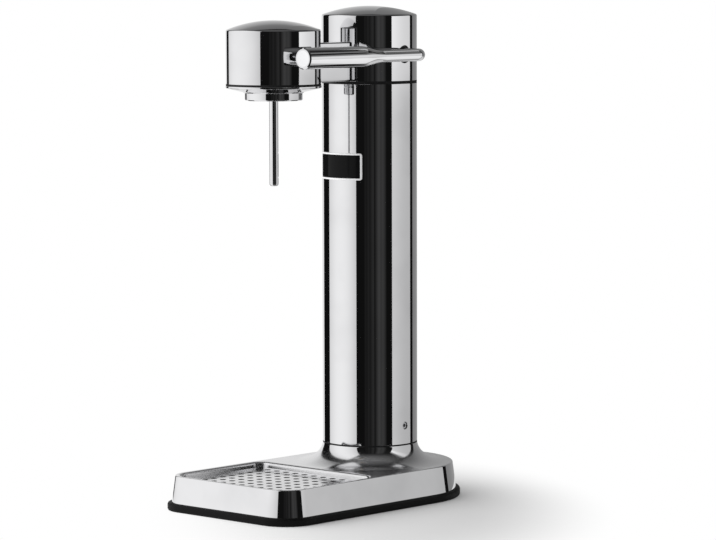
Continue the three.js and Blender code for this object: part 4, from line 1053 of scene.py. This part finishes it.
# %% [markdown]
# The column is a plain polished tube with slightly broken ends. Thin black gaskets close the seams under
# it, over it and under the head, and read as fine black lines. A gasket is squeezed between two rounded
# steel rims, so its section follows them and fills the groove. All of these are turned sections.

# %% Column tube, gaskets and the seams
COLUMN_RADIUS = tube_high.x
COLUMN_WALL = 0.0016
END_EDGE = 0.0003
SEAM_EDGE = 0.001
GASKET_WIDTH = 0.0013
BEAD_CLEAR = 0.00001
BEAD_ANGLES = [math.radians(angle) for angle in (8, 24, 40, 56, 73, 90)]


def turned_piece(name, section, node, material, place, body="stand", steps=TURN_STEPS, weighted=True):
    bm = bmesh.new()
    turn_section(bm, section, place, steps)
    return finish_piece(to_object(name, bm, material), node, body, weighted)


def tube_section(inner, outer, low, high, low_edge, high_edge):
    """A tube's section. The edges of its bore are limited by the wall."""
    most = (outer - inner) / EDGE_PARTS
    corners = [(outer, low, low_edge), (outer, high, high_edge),
               (inner, high, min(high_edge, most)), (inner, low, min(low_edge, most))]
    return rounded(corners, closed=True, steps=EDGE_STEPS)


def bead_side(outer, height, edge, side):
    """The bead's points along one rounded rim, from the surface inwards."""
    if edge == 0:
        return [(outer, height)]
    reach = edge + BEAD_CLEAR
    return [(outer - edge + reach * math.cos(a), height + side * (edge - reach * math.sin(a)))
            for a in BEAD_ANGLES]


def bead_section(outer, inner, low, high, edge_below, edge_above):
    """A soft ring squeezed between two rounded rims of radius outer, whose groove it fills."""
    below = bead_side(outer, low, edge_below, -1)[::-1]
    return [(inner, low)] + below + bead_side(outer, high, edge_above, 1) + [(inner, high)]


def make_gaskets():
    for name, edge_below, edge_above, outer in (
        ("foot_gasket", SEAM_FILLET, END_EDGE, COLUMN_RADIUS),
        ("column_gasket", SEAM_EDGE, SEAM_EDGE, COLUMN_RADIUS),
        ("head_gasket", 0, SEAM_EDGE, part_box("head_shell")[1].x),
    ):
        low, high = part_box(name)
        centre_y = (low.y + high.y) / 2
        section = bead_section(outer, high.x - GASKET_WIDTH, low.z, high.z, edge_below, edge_above)
        turned_piece(f"{name}_ring", section, name, foot_rubber, around_z(centre_y))


bore = COLUMN_RADIUS - COLUMN_WALL
column_section = tube_section(bore, COLUMN_RADIUS, tube_low.z, tube_high.z, END_EDGE, SEAM_EDGE)
column = turned_piece("column", column_section, "column_tube", mirror_steel, around_z(AXIS_Y), weighted=False)
make_gaskets()

# %% [markdown]
# Two round holes are cut into thin walls: one for the set screw low on the column and one for the lever's
# bush in the cap. A Boolean cuts them, is applied at once, and then the wall's normals are set to
# point straight away from the axis, so that the cut leaves no mark in the reflections round it.

# %% Cutting round holes into a wall
WALL_DOT = 0.995


def even_wall(piece):
    """Sets the normals of the turned wall to point straight away from or towards its axis."""
    mesh = piece.data
    normals = [(0.0, 0.0, 0.0)] * len(mesh.loops)
    axis = Vector((0, AXIS_Y, 0))
    for face in mesh.polygons:
        away = (face.center - axis) * Vector((1, 1, 0))
        lean = face.normal.dot(away.normalized())
        if abs(lean) < WALL_DOT:
            continue
        for index in face.loop_indices:
            place = mesh.vertices[mesh.loops[index].vertex_index].co
            out = ((place - axis) * Vector((1, 1, 0))).normalized()
            normals[index] = tuple(out if lean > 0 else -out)
    mesh.normals_split_custom_set(normals)
    print(piece.name, "has", len(mesh.polygons), "faces after its hole")


def cut_hole(piece, radius, centre, length):
    """Cuts a hole along +X from centre, through a wall that is turned round the column's axis."""
    bm = bmesh.new()
    place = around_x(centre.y, centre.z)
    turn_section(bm, [(0, centre.x), (radius, centre.x), (radius, centre.x + length), (0, centre.x + length)],
                 place, SMALL_TURN_STEPS, closed=False)
    cutter = to_object("cutter", bm, mirror_steel)
    modifier = piece.modifiers.new("hole", "BOOLEAN")
    modifier.operation = "DIFFERENCE"
    modifier.solver = "EXACT"
    modifier.object = cutter
    shown = piece.evaluated_get(bpy.context.evaluated_depsgraph_get())
    mesh = bpy.data.meshes.new_from_object(shown)
    piece.modifiers.remove(modifier)
    piece.data = mesh
    bpy.data.objects.remove(cutter)
    even_wall(piece)


screw_low, screw_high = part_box("foot_set_screw")
SET_SCREW_Z = (screw_low.z + screw_high.z) / 2
SET_SCREW_HOLE = 0.00325
HOLE_START_X = 0.03
cut_hole(column, SET_SCREW_HOLE, Vector((HOLE_START_X, AXIS_Y, SET_SCREW_Z)), COLUMN_RADIUS)

# %% [markdown]
# The set screw clamps the column on its foot. It is a small steel grub screw with a hexagon socket, so
# its end is a flat ring with a rounded edge round a six sided hole.

# %% Set screw
SET_SCREW_RADIUS = 0.00295
SOCKET_RADIUS = 0.0016
SOCKET_DEPTH = 0.0025
SCREW_EDGE = 0.0004
HEX_SIDES = 6
HEX_STEPS = 12


def hexagon_ring(x):
    """The socket's outline at x, with as many points as the screw's turned rim."""
    points = split_sides(circle(SOCKET_RADIUS, HEX_SIDES), lambda start, end: HEX_STEPS)
    return [(x, AXIS_Y + y, SET_SCREW_Z + z) for y, z in points]


def make_set_screw():
    bm = bmesh.new()
    low, high = screw_low.x, screw_high.x
    section = rounded([(0, low, 0), (SET_SCREW_RADIUS, low, SCREW_EDGE), (SET_SCREW_RADIUS, high, SCREW_EDGE),
                       (SOCKET_RADIUS + SCREW_EDGE, high, 0)], steps=TURNED_EDGE_STEPS)
    rings = turn_section(bm, section, around_x(AXIS_Y, SET_SCREW_Z), HEX_SIDES * HEX_STEPS, closed=False)
    mouth = add_ring(bm, hexagon_ring(high))
    floor_ring = add_ring(bm, hexagon_ring(high - SOCKET_DEPTH))
    bridge_rings(bm, rings[-1], mouth)
    bridge_rings(bm, mouth, floor_ring)
    bm.faces.new(floor_ring)
    return finish_piece(to_object("grub_screw", bm, plated_steel), "foot_set_screw")


make_set_screw()

# %% [markdown]
# The cap and the head are deep drawn steel cups with low domed tops. The dome is part of a large sphere,
# and the shoulder where it meets the wall has a small radius. Each is turned from two sections, one up the
# outside and one up the inside, that meet at the lower rim.

# %% Cap and head
SHOULDER_FILLET = 0.0016
DOME_PROFILE_STEPS = 40
SHELL_WALL = 0.0016
DOME_CLEAR = 0.003


def dome_points(radius, shoulder, apex, start_radius):
    rise = apex - shoulder
    sphere = (radius * radius + rise * rise) / (2 * rise)
    reach = math.asin(start_radius / sphere)
    points = []
    for i in range(DOME_PROFILE_STEPS + 1):
        angle = reach * (1 - i / DOME_PROFILE_STEPS)
        points.append((sphere * math.sin(angle), apex - sphere * (1 - math.cos(angle))))
    points[-1] = (0, apex)
    return points


def domed_section(radius, bottom, shoulder, apex):
    outside = dome_points(radius, shoulder, apex, radius - DOME_CLEAR)
    bore, under = radius - SHELL_WALL, shoulder - SHELL_WALL
    corner = [(bore, bottom, 0), (radius, bottom, SEAM_EDGE), (radius, shoulder, SHOULDER_FILLET),
              (*outside[0], 0)]
    inside = dome_points(bore, under, apex - SHELL_WALL, bore - DOME_CLEAR)
    lining = [(bore, bottom), (bore, under)] + inside
    return rounded(corner)[:-1] + outside, lining


def domed_piece(name, node, dome_rise, material):
    low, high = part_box(node)
    centre_y = (low.y + high.y) / 2
    bm = bmesh.new()
    outside, lining = domed_section(high.x, low.z, high.z - dome_rise, high.z)
    turn_section(bm, outside, around_z(centre_y), closed=False)
    turn_section(bm, lining, around_z(centre_y), closed=False)
    return to_object(name, bm, material)


CAP_DOME = 0.0072
HEAD_DOME = 0.0079
cap = domed_piece("cap", "cap_shell", CAP_DOME, mirror_steel)
head = domed_piece("head", "head_shell", HEAD_DOME, mirror_steel)
bush_low, bush_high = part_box("lever_bush")
LEVER_Z = (bush_low.z + bush_high.z) / 2
BUSH_HOLE = 0.0075
cut_hole(cap, BUSH_HOLE, Vector((HOLE_START_X, AXIS_Y, LEVER_Z)), COLUMN_RADIUS)
finish_piece(cap, "cap_shell", weighted=False)
finish_piece(head, "head_shell", weighted=False)

# %% [markdown]
# A short bridge joins the cap and the head. It is a rounded box section whose ends are cut to the curve of
# the two cups, so each point of its section runs from one cylinder to the other, and no Boolean
# is needed. The gap to the cups is a hairline that shows dark.

# %% Bridge
bridge_low, bridge_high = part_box("bridge_cover")
BRIDGE_EDGE = 0.0014
BRIDGE_WALL = 0.0015
BRIDGE_GAP = 0.0003
BRIDGE_STEPS = 10
FLAT_STEPS = 14
LONG_SIDE = 0.002
head_low, head_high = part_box("head_shell")
HEAD_Y = (head_low.y + head_high.y) / 2
HEAD_RADIUS = head_high.x


def box_section(inset):
    """The bridge's section as points (x, z), at an inset from its outside."""
    half_height = (bridge_high.z - bridge_low.z) / 2
    middle_z = (bridge_high.z + bridge_low.z) / 2
    corner = max(BRIDGE_EDGE - inset, BRIDGE_EDGE / EDGE_PARTS)
    points = rounded_rectangle(bridge_high.x - inset, half_height - inset, corner)
    return split_sides([(x, middle_z + z) for x, z in points],
                       lambda start, end: FLAT_STEPS if math.dist(start, end) > LONG_SIDE else 1)


def bridge_ring(bm, inset, share):
    points = []
    for x, z in box_section(inset):
        back = AXIS_Y - math.sqrt((COLUMN_RADIUS + BRIDGE_GAP) ** 2 - x * x)
        front = HEAD_Y + math.sqrt((HEAD_RADIUS + BRIDGE_GAP) ** 2 - x * x)
        points.append((x, back + (front - back) * share, z))
    return add_ring(bm, points)


def make_bridge():
    bm = bmesh.new()
    shares = [i / BRIDGE_STEPS for i in range(BRIDGE_STEPS + 1)]
    outside = [bridge_ring(bm, 0, share) for share in shares]
    lining = [bridge_ring(bm, BRIDGE_WALL, share) for share in reversed(shares)]
    join_rings(bm, outside + lining, closed=True)
    return finish_piece(to_object("bridge", bm, mirror_steel), "bridge_cover")


make_bridge()

# %% [markdown]
# Under the head sits a ring that leads in to the bottle collar, a turned steel cup with a rubber seal at
# the top of its bore. The carbonation nozzle hangs from its middle. All are turned pieces with broken
# edges.

# %% Ring, collar, seal and nozzle
RING_SECTION = (
    (0.0223, 0.3444, 0.0002), (0.0245, 0.3444, 0.0004), (0.0252, 0.3451, 0.0004), (0.039, 0.3483, 0.0003),
    (0.0394, 0.3487, 0.0003), (0.0394, 0.3502, 0.0004), (0.0223, 0.3502, 0),
)
COLLAR_SECTION = (
    (0.0195, 0.3382, 0.0006), (0.023, 0.3382, 0.0003), (0.0238, 0.339, 0.0003), (0.0238, 0.3444, 0.0002),
    (0.022, 0.3444, 0), (0.022, 0.361, 0), (0.0172, 0.361, 0), (0.0172, 0.357, 0), (0.0195, 0.357, 0),
)
SEAL_WIDTH = 0.007
SEAL_EDGE = 0.0006
NOZZLE_RADIUS = 0.00375
NOZZLE_WALL = 0.0015
ORIFICE_RADIUS = 0.0008


def make_head_fittings():
    place = around_z(HEAD_Y)
    for name, corners, node in (("under_ring", RING_SECTION, "head_ring"),
                                ("collar", COLLAR_SECTION, "bottle_collar")):
        section = rounded(corners, closed=True, steps=TURNED_EDGE_STEPS)
        turned_piece(name, section, node, mirror_steel, place)
    seal_low, seal_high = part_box("bottle_seal")
    seal = tube_section(seal_high.x - SEAL_WIDTH, seal_high.x, seal_low.z, seal_high.z, SEAL_EDGE, SEAL_EDGE)
    turned_piece("neck_seal", seal, "bottle_seal", foot_rubber, place)
    tip_z, top_z = (corner.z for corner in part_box("nozzle_tube"))
    half = NOZZLE_RADIUS / 2
    round_tip = arc((half, tip_z + half), half, -QUARTER, 0, FILLET_STEPS * 2)
    bore = NOZZLE_RADIUS - NOZZLE_WALL
    cone_z = tip_z + NOZZLE_RADIUS
    inside = [(bore, top_z), (bore, cone_z), (ORIFICE_RADIUS, cone_z - NOZZLE_WALL)]
    section = [(ORIFICE_RADIUS, tip_z)] + round_tip + [(NOZZLE_RADIUS, top_z)] + inside
    turned_piece("nozzle", section, "nozzle_tube", mirror_steel, place, steps=SMALL_TURN_STEPS)


make_head_fittings()

# %% [markdown]
# The lever is one steel rod. It crosses the cap as a shaft, bends forward in a quarter circle, and swells
# into a straight cylindrical handle with a chamfered end. A circle swept along stations gives all of
# that: each station has a place, a sideways direction and a radius.

# %% Lever
lever_low, lever_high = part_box("lever")
clip_low, clip_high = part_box("shaft_clip")
ROD_RADIUS = 0.0051
HANDLE_RADIUS = 0.0087
HANDLE_X = lever_high.x - HANDLE_RADIUS
HANDLE_END = lever_low.y
SWELL_START = 0.0521
SWELL_END = 0.0817
BEND_RADIUS = 0.013
BEND_STEPS = 28
SWELL_STEPS = 28
HANDLE_CHAMFER = 0.001
ROD_STEPS = 96
GROOVE_DEPTH = 0.0011
CLIP_GAP = 0.0003
SHAFT_EDGE = 0.0005
CHAMFER_EDGE = 0.00025
TURNING_PITCH = 0.0006
TURNING_DEPTH = 0.00001
END_SLOT = 1


def lever_stations():
    """Places as (x, y, sideways direction, radius), from the shaft's inner end to the handle's end."""
    shaft = Vector((0, 1, 0))
    handle = Vector((1, 0, 0))
    stations = [(lever_low.x, AXIS_Y, shaft, ROD_RADIUS - SHAFT_EDGE)]
    stations.append((lever_low.x + SHAFT_EDGE, AXIS_Y, shaft, ROD_RADIUS))
    groove = ROD_RADIUS - GROOVE_DEPTH
    near, far = clip_low.x - CLIP_GAP, clip_high.x + CLIP_GAP
    for x, radius in ((near, ROD_RADIUS), (near, groove), (far, groove), (far, ROD_RADIUS)):
        stations.append((x, AXIS_Y, shaft, radius))
    for i in range(BEND_STEPS + 1):
        angle = QUARTER * (1 - i / BEND_STEPS)
        side = Vector((math.cos(angle), math.sin(angle), 0))
        x = HANDLE_X - BEND_RADIUS + BEND_RADIUS * side.x
        stations.append((x, AXIS_Y - BEND_RADIUS + BEND_RADIUS * side.y, side, ROD_RADIUS))
    for i in range(SWELL_STEPS + 1):
        share = i / SWELL_STEPS
        swell = (1 - math.cos(math.pi * share)) / 2
        y = AXIS_Y - SWELL_START - (SWELL_END - SWELL_START) * share
        stations.append((HANDLE_X, y, handle, ROD_RADIUS + (HANDLE_RADIUS - ROD_RADIUS) * swell))
    end = rounded([(HANDLE_END + 2 * HANDLE_CHAMFER + CHAMFER_EDGE, HANDLE_RADIUS, 0),
                   (HANDLE_END + HANDLE_CHAMFER, HANDLE_RADIUS, CHAMFER_EDGE),
                   (HANDLE_END, HANDLE_RADIUS - HANDLE_CHAMFER, CHAMFER_EDGE),
                   (HANDLE_END, HANDLE_RADIUS - 2 * HANDLE_CHAMFER - CHAMFER_EDGE, 0)], steps=EDGE_STEPS)
    stations += [(HANDLE_X, y, handle, radius) for y, radius in end]
    return stations


def add_turning_marks(material, centre_x, centre_z):
    """Fine rings round the rod's axis, as a lathe tool leaves them across a faced end."""
    tree = material.node_tree
    place = add_node(tree, "ShaderNodeSeparateXYZ", {0: object_place(tree)}).outputs
    aside = math_node(tree, "SUBTRACT", place["X"], centre_x)
    above_it = math_node(tree, "SUBTRACT", place["Z"], centre_z)
    offset = add_node(tree, "ShaderNodeCombineXYZ", {"X": aside, "Y": above_it})
    radius = add_node(tree, "ShaderNodeVectorMath", {0: offset.outputs[0]}, operation="LENGTH")
    turns = math_node(tree, "MULTIPLY", radius.outputs["Value"], math.tau / TURNING_PITCH)
    height = remap(tree, math_node(tree, "SINE", turns), -1, 1, 0, 1)
    bump_normal(tree, tree.nodes["Principled BSDF"], height, TURNING_DEPTH)


def make_lever():
    bm = bmesh.new()
    rings = []
    for x, y, side, radius in lever_stations():
        centre = Vector((x, y, LEVER_Z))
        rings.append(add_ring(bm, [centre + side * u + upright * v for u, v in circle(radius, ROD_STEPS)]))
    join_rings(bm, rings)
    bm.faces.new(rings[0])
    bm.faces.new(rings[-1]).material_index = END_SLOT
    piece = to_object("lever_rod", bm, mirror_steel)
    piece.data.materials.append(faced_steel)
    return finish_piece(piece, "lever", "lever")


add_turning_marks(faced_steel, HANDLE_X, LEVER_Z)
lever_rod = make_lever()

# %% [markdown]
# In the photograph the handle shows a broad bright band and two thin grey ones that the upright walls don't
# show. Where they come from isn't known. Three cards imitate them, and light linking lets them add light
# only to what the lever reflects. A real card would show in the walls too, so this is a liberty.

# %% The lever's own cards
LOW_CARD_HEIGHT = 0.31
LOW_CARD_LEVEL = 0.42
LOW_CARD_PLACES = ((0.04, -0.16), (0.04, 0.24), (0.42, 0.24), (0.42, -0.16))
HIGH_CARD_LEVEL = 0.42
HIGH_CARD_PLACES = ((0.56, -0.72), (0.88, -0.5))
HIGH_CARD_LOW, HIGH_CARD_HIGH = 1.1, 1.32
LEANING_CARD_LEVEL = 0.2
LEANING_CARD_PLACE = (0.98, -0.25, 1.11)
LEANING_CARD_LEAN = math.radians(56)
LEANING_CARD_HALF_LENGTH, LEANING_CARD_HALF_WIDTH = 0.3, 0.12


def added_glow(name, level):
    material, tree = start_glow(name)
    clear = add_node(tree, "ShaderNodeBsdfTransparent").outputs[0]
    added = add_node(tree, "ShaderNodeAddShader", {0: glow_node(tree, level), 1: clear})
    show_surface(tree, added.outputs[0])
    return material


def leaning_corners():
    turned = LEANING_CARD_LEAN
    lean = Vector((-math.sin(turned), 0, math.cos(turned))) * LEANING_CARD_HALF_WIDTH
    length = Vector((0, LEANING_CARD_HALF_LENGTH, 0))
    centre = from_axis(*LEANING_CARD_PLACE)
    return [centre - length - lean, centre + length - lean, centre + length + lean, centre - length + lean]


lever_only = bpy.data.collections.new("lit by its own cards")
lever_only.objects.link(lever_rod)
low_corners = [from_axis(*place, LOW_CARD_HEIGHT) for place in LOW_CARD_PLACES]
start, end = HIGH_CARD_PLACES
high_corners = [from_axis(*place, height) for place, height in (
    (start, HIGH_CARD_LOW), (end, HIGH_CARD_LOW), (end, HIGH_CARD_HIGH), (start, HIGH_CARD_HIGH))]
for name, corners, level in (("low_card", low_corners, LOW_CARD_LEVEL),
                             ("leaning_card", leaning_corners(), LEANING_CARD_LEVEL),
                             ("high_card", high_corners, HIGH_CARD_LEVEL)):
    card(name, corners, added_glow(name, level)).light_linking.receiver_collection = lever_only

# %% [markdown]
# The black bush carries the lever in the cap's side. Only its end face shows, a little below the steel,
# as a black ring round the rod.

# %% Lever bush
BUSH_EDGE = 0.0005


def make_bush():
    bore = ROD_RADIUS + CLIP_GAP
    section = tube_section(bore, bush_high.y - AXIS_Y, bush_low.x, bush_high.x, BUSH_EDGE, BUSH_EDGE)
    place = around_x(AXIS_Y, LEVER_Z)
    turned_piece("rod_bush", section, "lever_bush", satin_plastic, place, steps=SMALL_TURN_STEPS)


make_bush()

# %% [markdown]
# Under the plunger's pad a coil spring lifts the valve and the lever again. Its wire is a circle swept
# along a helix. When the lever goes down, the real spring gets shorter, but this mesh keeps its length.

# %% Return spring
spring_low, spring_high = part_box("return_spring")
WIRE_RADIUS = 0.00055
WIRE_SIDES = 14
SPRING_TURNS = 4.5
STEPS_PER_TURN = 40
COIL_RADIUS = spring_high.x - WIRE_RADIUS


def make_spring():
    bm = bmesh.new()
    steps = round(SPRING_TURNS * STEPS_PER_TURN)
    low, high = spring_low.z + WIRE_RADIUS, spring_high.z - WIRE_RADIUS
    rings = []
    for i in range(steps + 1):
        turn = math.tau * SPRING_TURNS * i / steps
        wire = circle(WIRE_RADIUS, WIRE_SIDES, (COIL_RADIUS, low + (high - low) * i / steps))
        rings.append(add_ring(bm, [around_z(AXIS_Y)(r, h, turn) for r, h in wire]))
    join_rings(bm, rings)
    for ring in (rings[0], rings[-1]):
        bm.faces.new(ring)
    return finish_piece(to_object("spring_coil", bm, plated_steel), "return_spring", weighted=False)


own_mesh(make_spring())

# %% [markdown]
# The gas cylinder stands in the column, and its foot shows from below through the opening of the base
# plate. It is a drawn bottle: a dished bottom on a rounded rim, a straight side, and a shoulder that is
# a quarter of an ellipse. Inside, a shoulder of the same kind stands over a straight wall and a flat floor.

# %% Gas cylinder
bottle_low, bottle_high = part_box("gas_cylinder")
BOTTLE_RADIUS = bottle_high.x
BOTTLE_WALL = 0.0024
BOTTLE_RIM = 0.004
BOTTLE_DISH = 0.005
BOTTLE_NECK_RADIUS = 0.013
BOTTLE_BORE = 0.006
BOTTLE_NECK = 0.008
BOTTLE_SHOULDER = 0.034
SHOULDER_STEPS = 20
NECK_EDGE = 0.0006


def shoulder_points(radius, neck, start_z):
    turns = [QUARTER * i / SHOULDER_STEPS for i in range(SHOULDER_STEPS + 1)]
    return [(neck + (radius - neck) * math.cos(a), start_z + BOTTLE_SHOULDER * math.sin(a)) for a in turns]


def make_bottle():
    foot, top = bottle_low.z, bottle_high.z
    rim_start = BOTTLE_RADIUS - 2 * BOTTLE_RIM
    shoulder_z = top - BOTTLE_NECK - BOTTLE_SHOULDER
    dish = dome_points(rim_start, foot, foot + BOTTLE_DISH, rim_start)[::-1]
    rim = arc((BOTTLE_RADIUS - BOTTLE_RIM, foot + BOTTLE_RIM), BOTTLE_RIM, -QUARTER, 0, FILLET_STEPS)
    neck = rounded([(BOTTLE_NECK_RADIUS, top - BOTTLE_NECK, 0), (BOTTLE_NECK_RADIUS, top, NECK_EDGE),
                    (BOTTLE_BORE, top, NECK_EDGE), (BOTTLE_BORE, top - BOTTLE_NECK, 0)])[1:-1]
    inner = BOTTLE_RADIUS - BOTTLE_WALL
    lining = shoulder_points(inner, BOTTLE_BORE, shoulder_z)[::-1]
    floor_z = foot + BOTTLE_DISH + BOTTLE_WALL
    section = dish + rim + shoulder_points(BOTTLE_RADIUS, BOTTLE_NECK_RADIUS, shoulder_z) + neck
    section += lining + [(inner, floor_z), (0, floor_z)]
    bm = bmesh.new()
    turn_section(bm, section, around_z(AXIS_Y), SMALL_TURN_STEPS, closed=False)
    return finish_piece(to_object("gas_bottle", bm, powder_coat), "gas_cylinder")


make_bottle()

# %% [markdown]
# The badge is a thin rectangular plate bent round the column, with a raised border and a glossy black face.
# The border is a matt pale white instead of steel, a painted highlight for the light its edge catches. The
# face is left bare. Its outline is drawn flat and then wrapped on the column, so its straight edges are split
# finely enough to follow the curve.

# %% Badge
badge_low, badge_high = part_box("badge_frame")
BADGE_Z = (badge_low.z + badge_high.z) / 2
BADGE_HALF_WIDTH = badge_high.x
BADGE_HALF_HEIGHT = (badge_high.z - badge_low.z) / 2
BADGE_CORNER = 0.002
BADGE_BORDER = 0.0015
BADGE_SEAT = 0.0403
BADGE_THICKNESS = 0.001
FACE_THICKNESS = 0.0006
BADGE_EDGE = 0.0003
BADGE_COLUMNS = 40
BADGE_OUTER = BADGE_SEAT + BADGE_THICKNESS
PLACE_DIGITS = 6


def wrap_on_column(across_plate, up_plate, height):
    radius = BADGE_SEAT + height
    angle = math.asin(across_plate / BADGE_OUTER)
    return (radius * math.sin(angle), AXIS_Y - radius * math.cos(angle), BADGE_Z + up_plate)


def badge_ring(bm, inset, height):
    """A ring round the badge, whose level sides are split so that they can follow the column."""
    corner = max(BADGE_CORNER - inset, BADGE_EDGE)
    points = rounded_rectangle(BADGE_HALF_WIDTH - inset, BADGE_HALF_HEIGHT - inset, corner)
    split = split_sides(
        points, lambda start, end: BADGE_COLUMNS if abs(end[1] - start[1]) < MERGE_DISTANCE else 1)
    return add_ring(bm, [wrap_on_column(x, z, height) for x, z in split])


def make_badge_frame():
    bm = bmesh.new()
    section = rounded([(0, 0, 0), (0, BADGE_THICKNESS, BADGE_EDGE),
                       (BADGE_BORDER, BADGE_THICKNESS, BADGE_EDGE), (BADGE_BORDER, 0, 0)],
                      closed=True, steps=TURNED_EDGE_STEPS)
    join_rings(bm, [badge_ring(bm, inset, height) for inset, height in section], closed=True)
    return finish_piece(to_object("badge_border", bm, rim_painted_as_highlight), "badge_frame")


def cap_wrapped(bm, ring):
    """Closes a wrapped outline with upright strips, so that it keeps the column's curve."""
    columns = {}
    for vert in ring:
        columns.setdefault(round(vert.co.x, PLACE_DIGITS), []).append(vert)
    marks = sorted(columns)
    for left, right in zip(marks, marks[1:]):
        corners = sorted(columns[left], key=lambda v: v.co.z) + sorted(columns[right], key=lambda v: -v.co.z)
        if len(corners) > 2:
            bm.faces.new(corners)


def make_badge_face():
    inset = BADGE_HALF_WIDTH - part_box("badge_plate")[1].x
    bm = bmesh.new()
    rings = [badge_ring(bm, inset, height) for height in (FACE_THICKNESS, 0)]
    bridge_rings(bm, *rings)
    for ring in rings:
        cap_wrapped(bm, ring)
    return finish_piece(to_object("badge_face", bm, gloss_black), "badge_plate")


make_badge_frame()
make_badge_face()
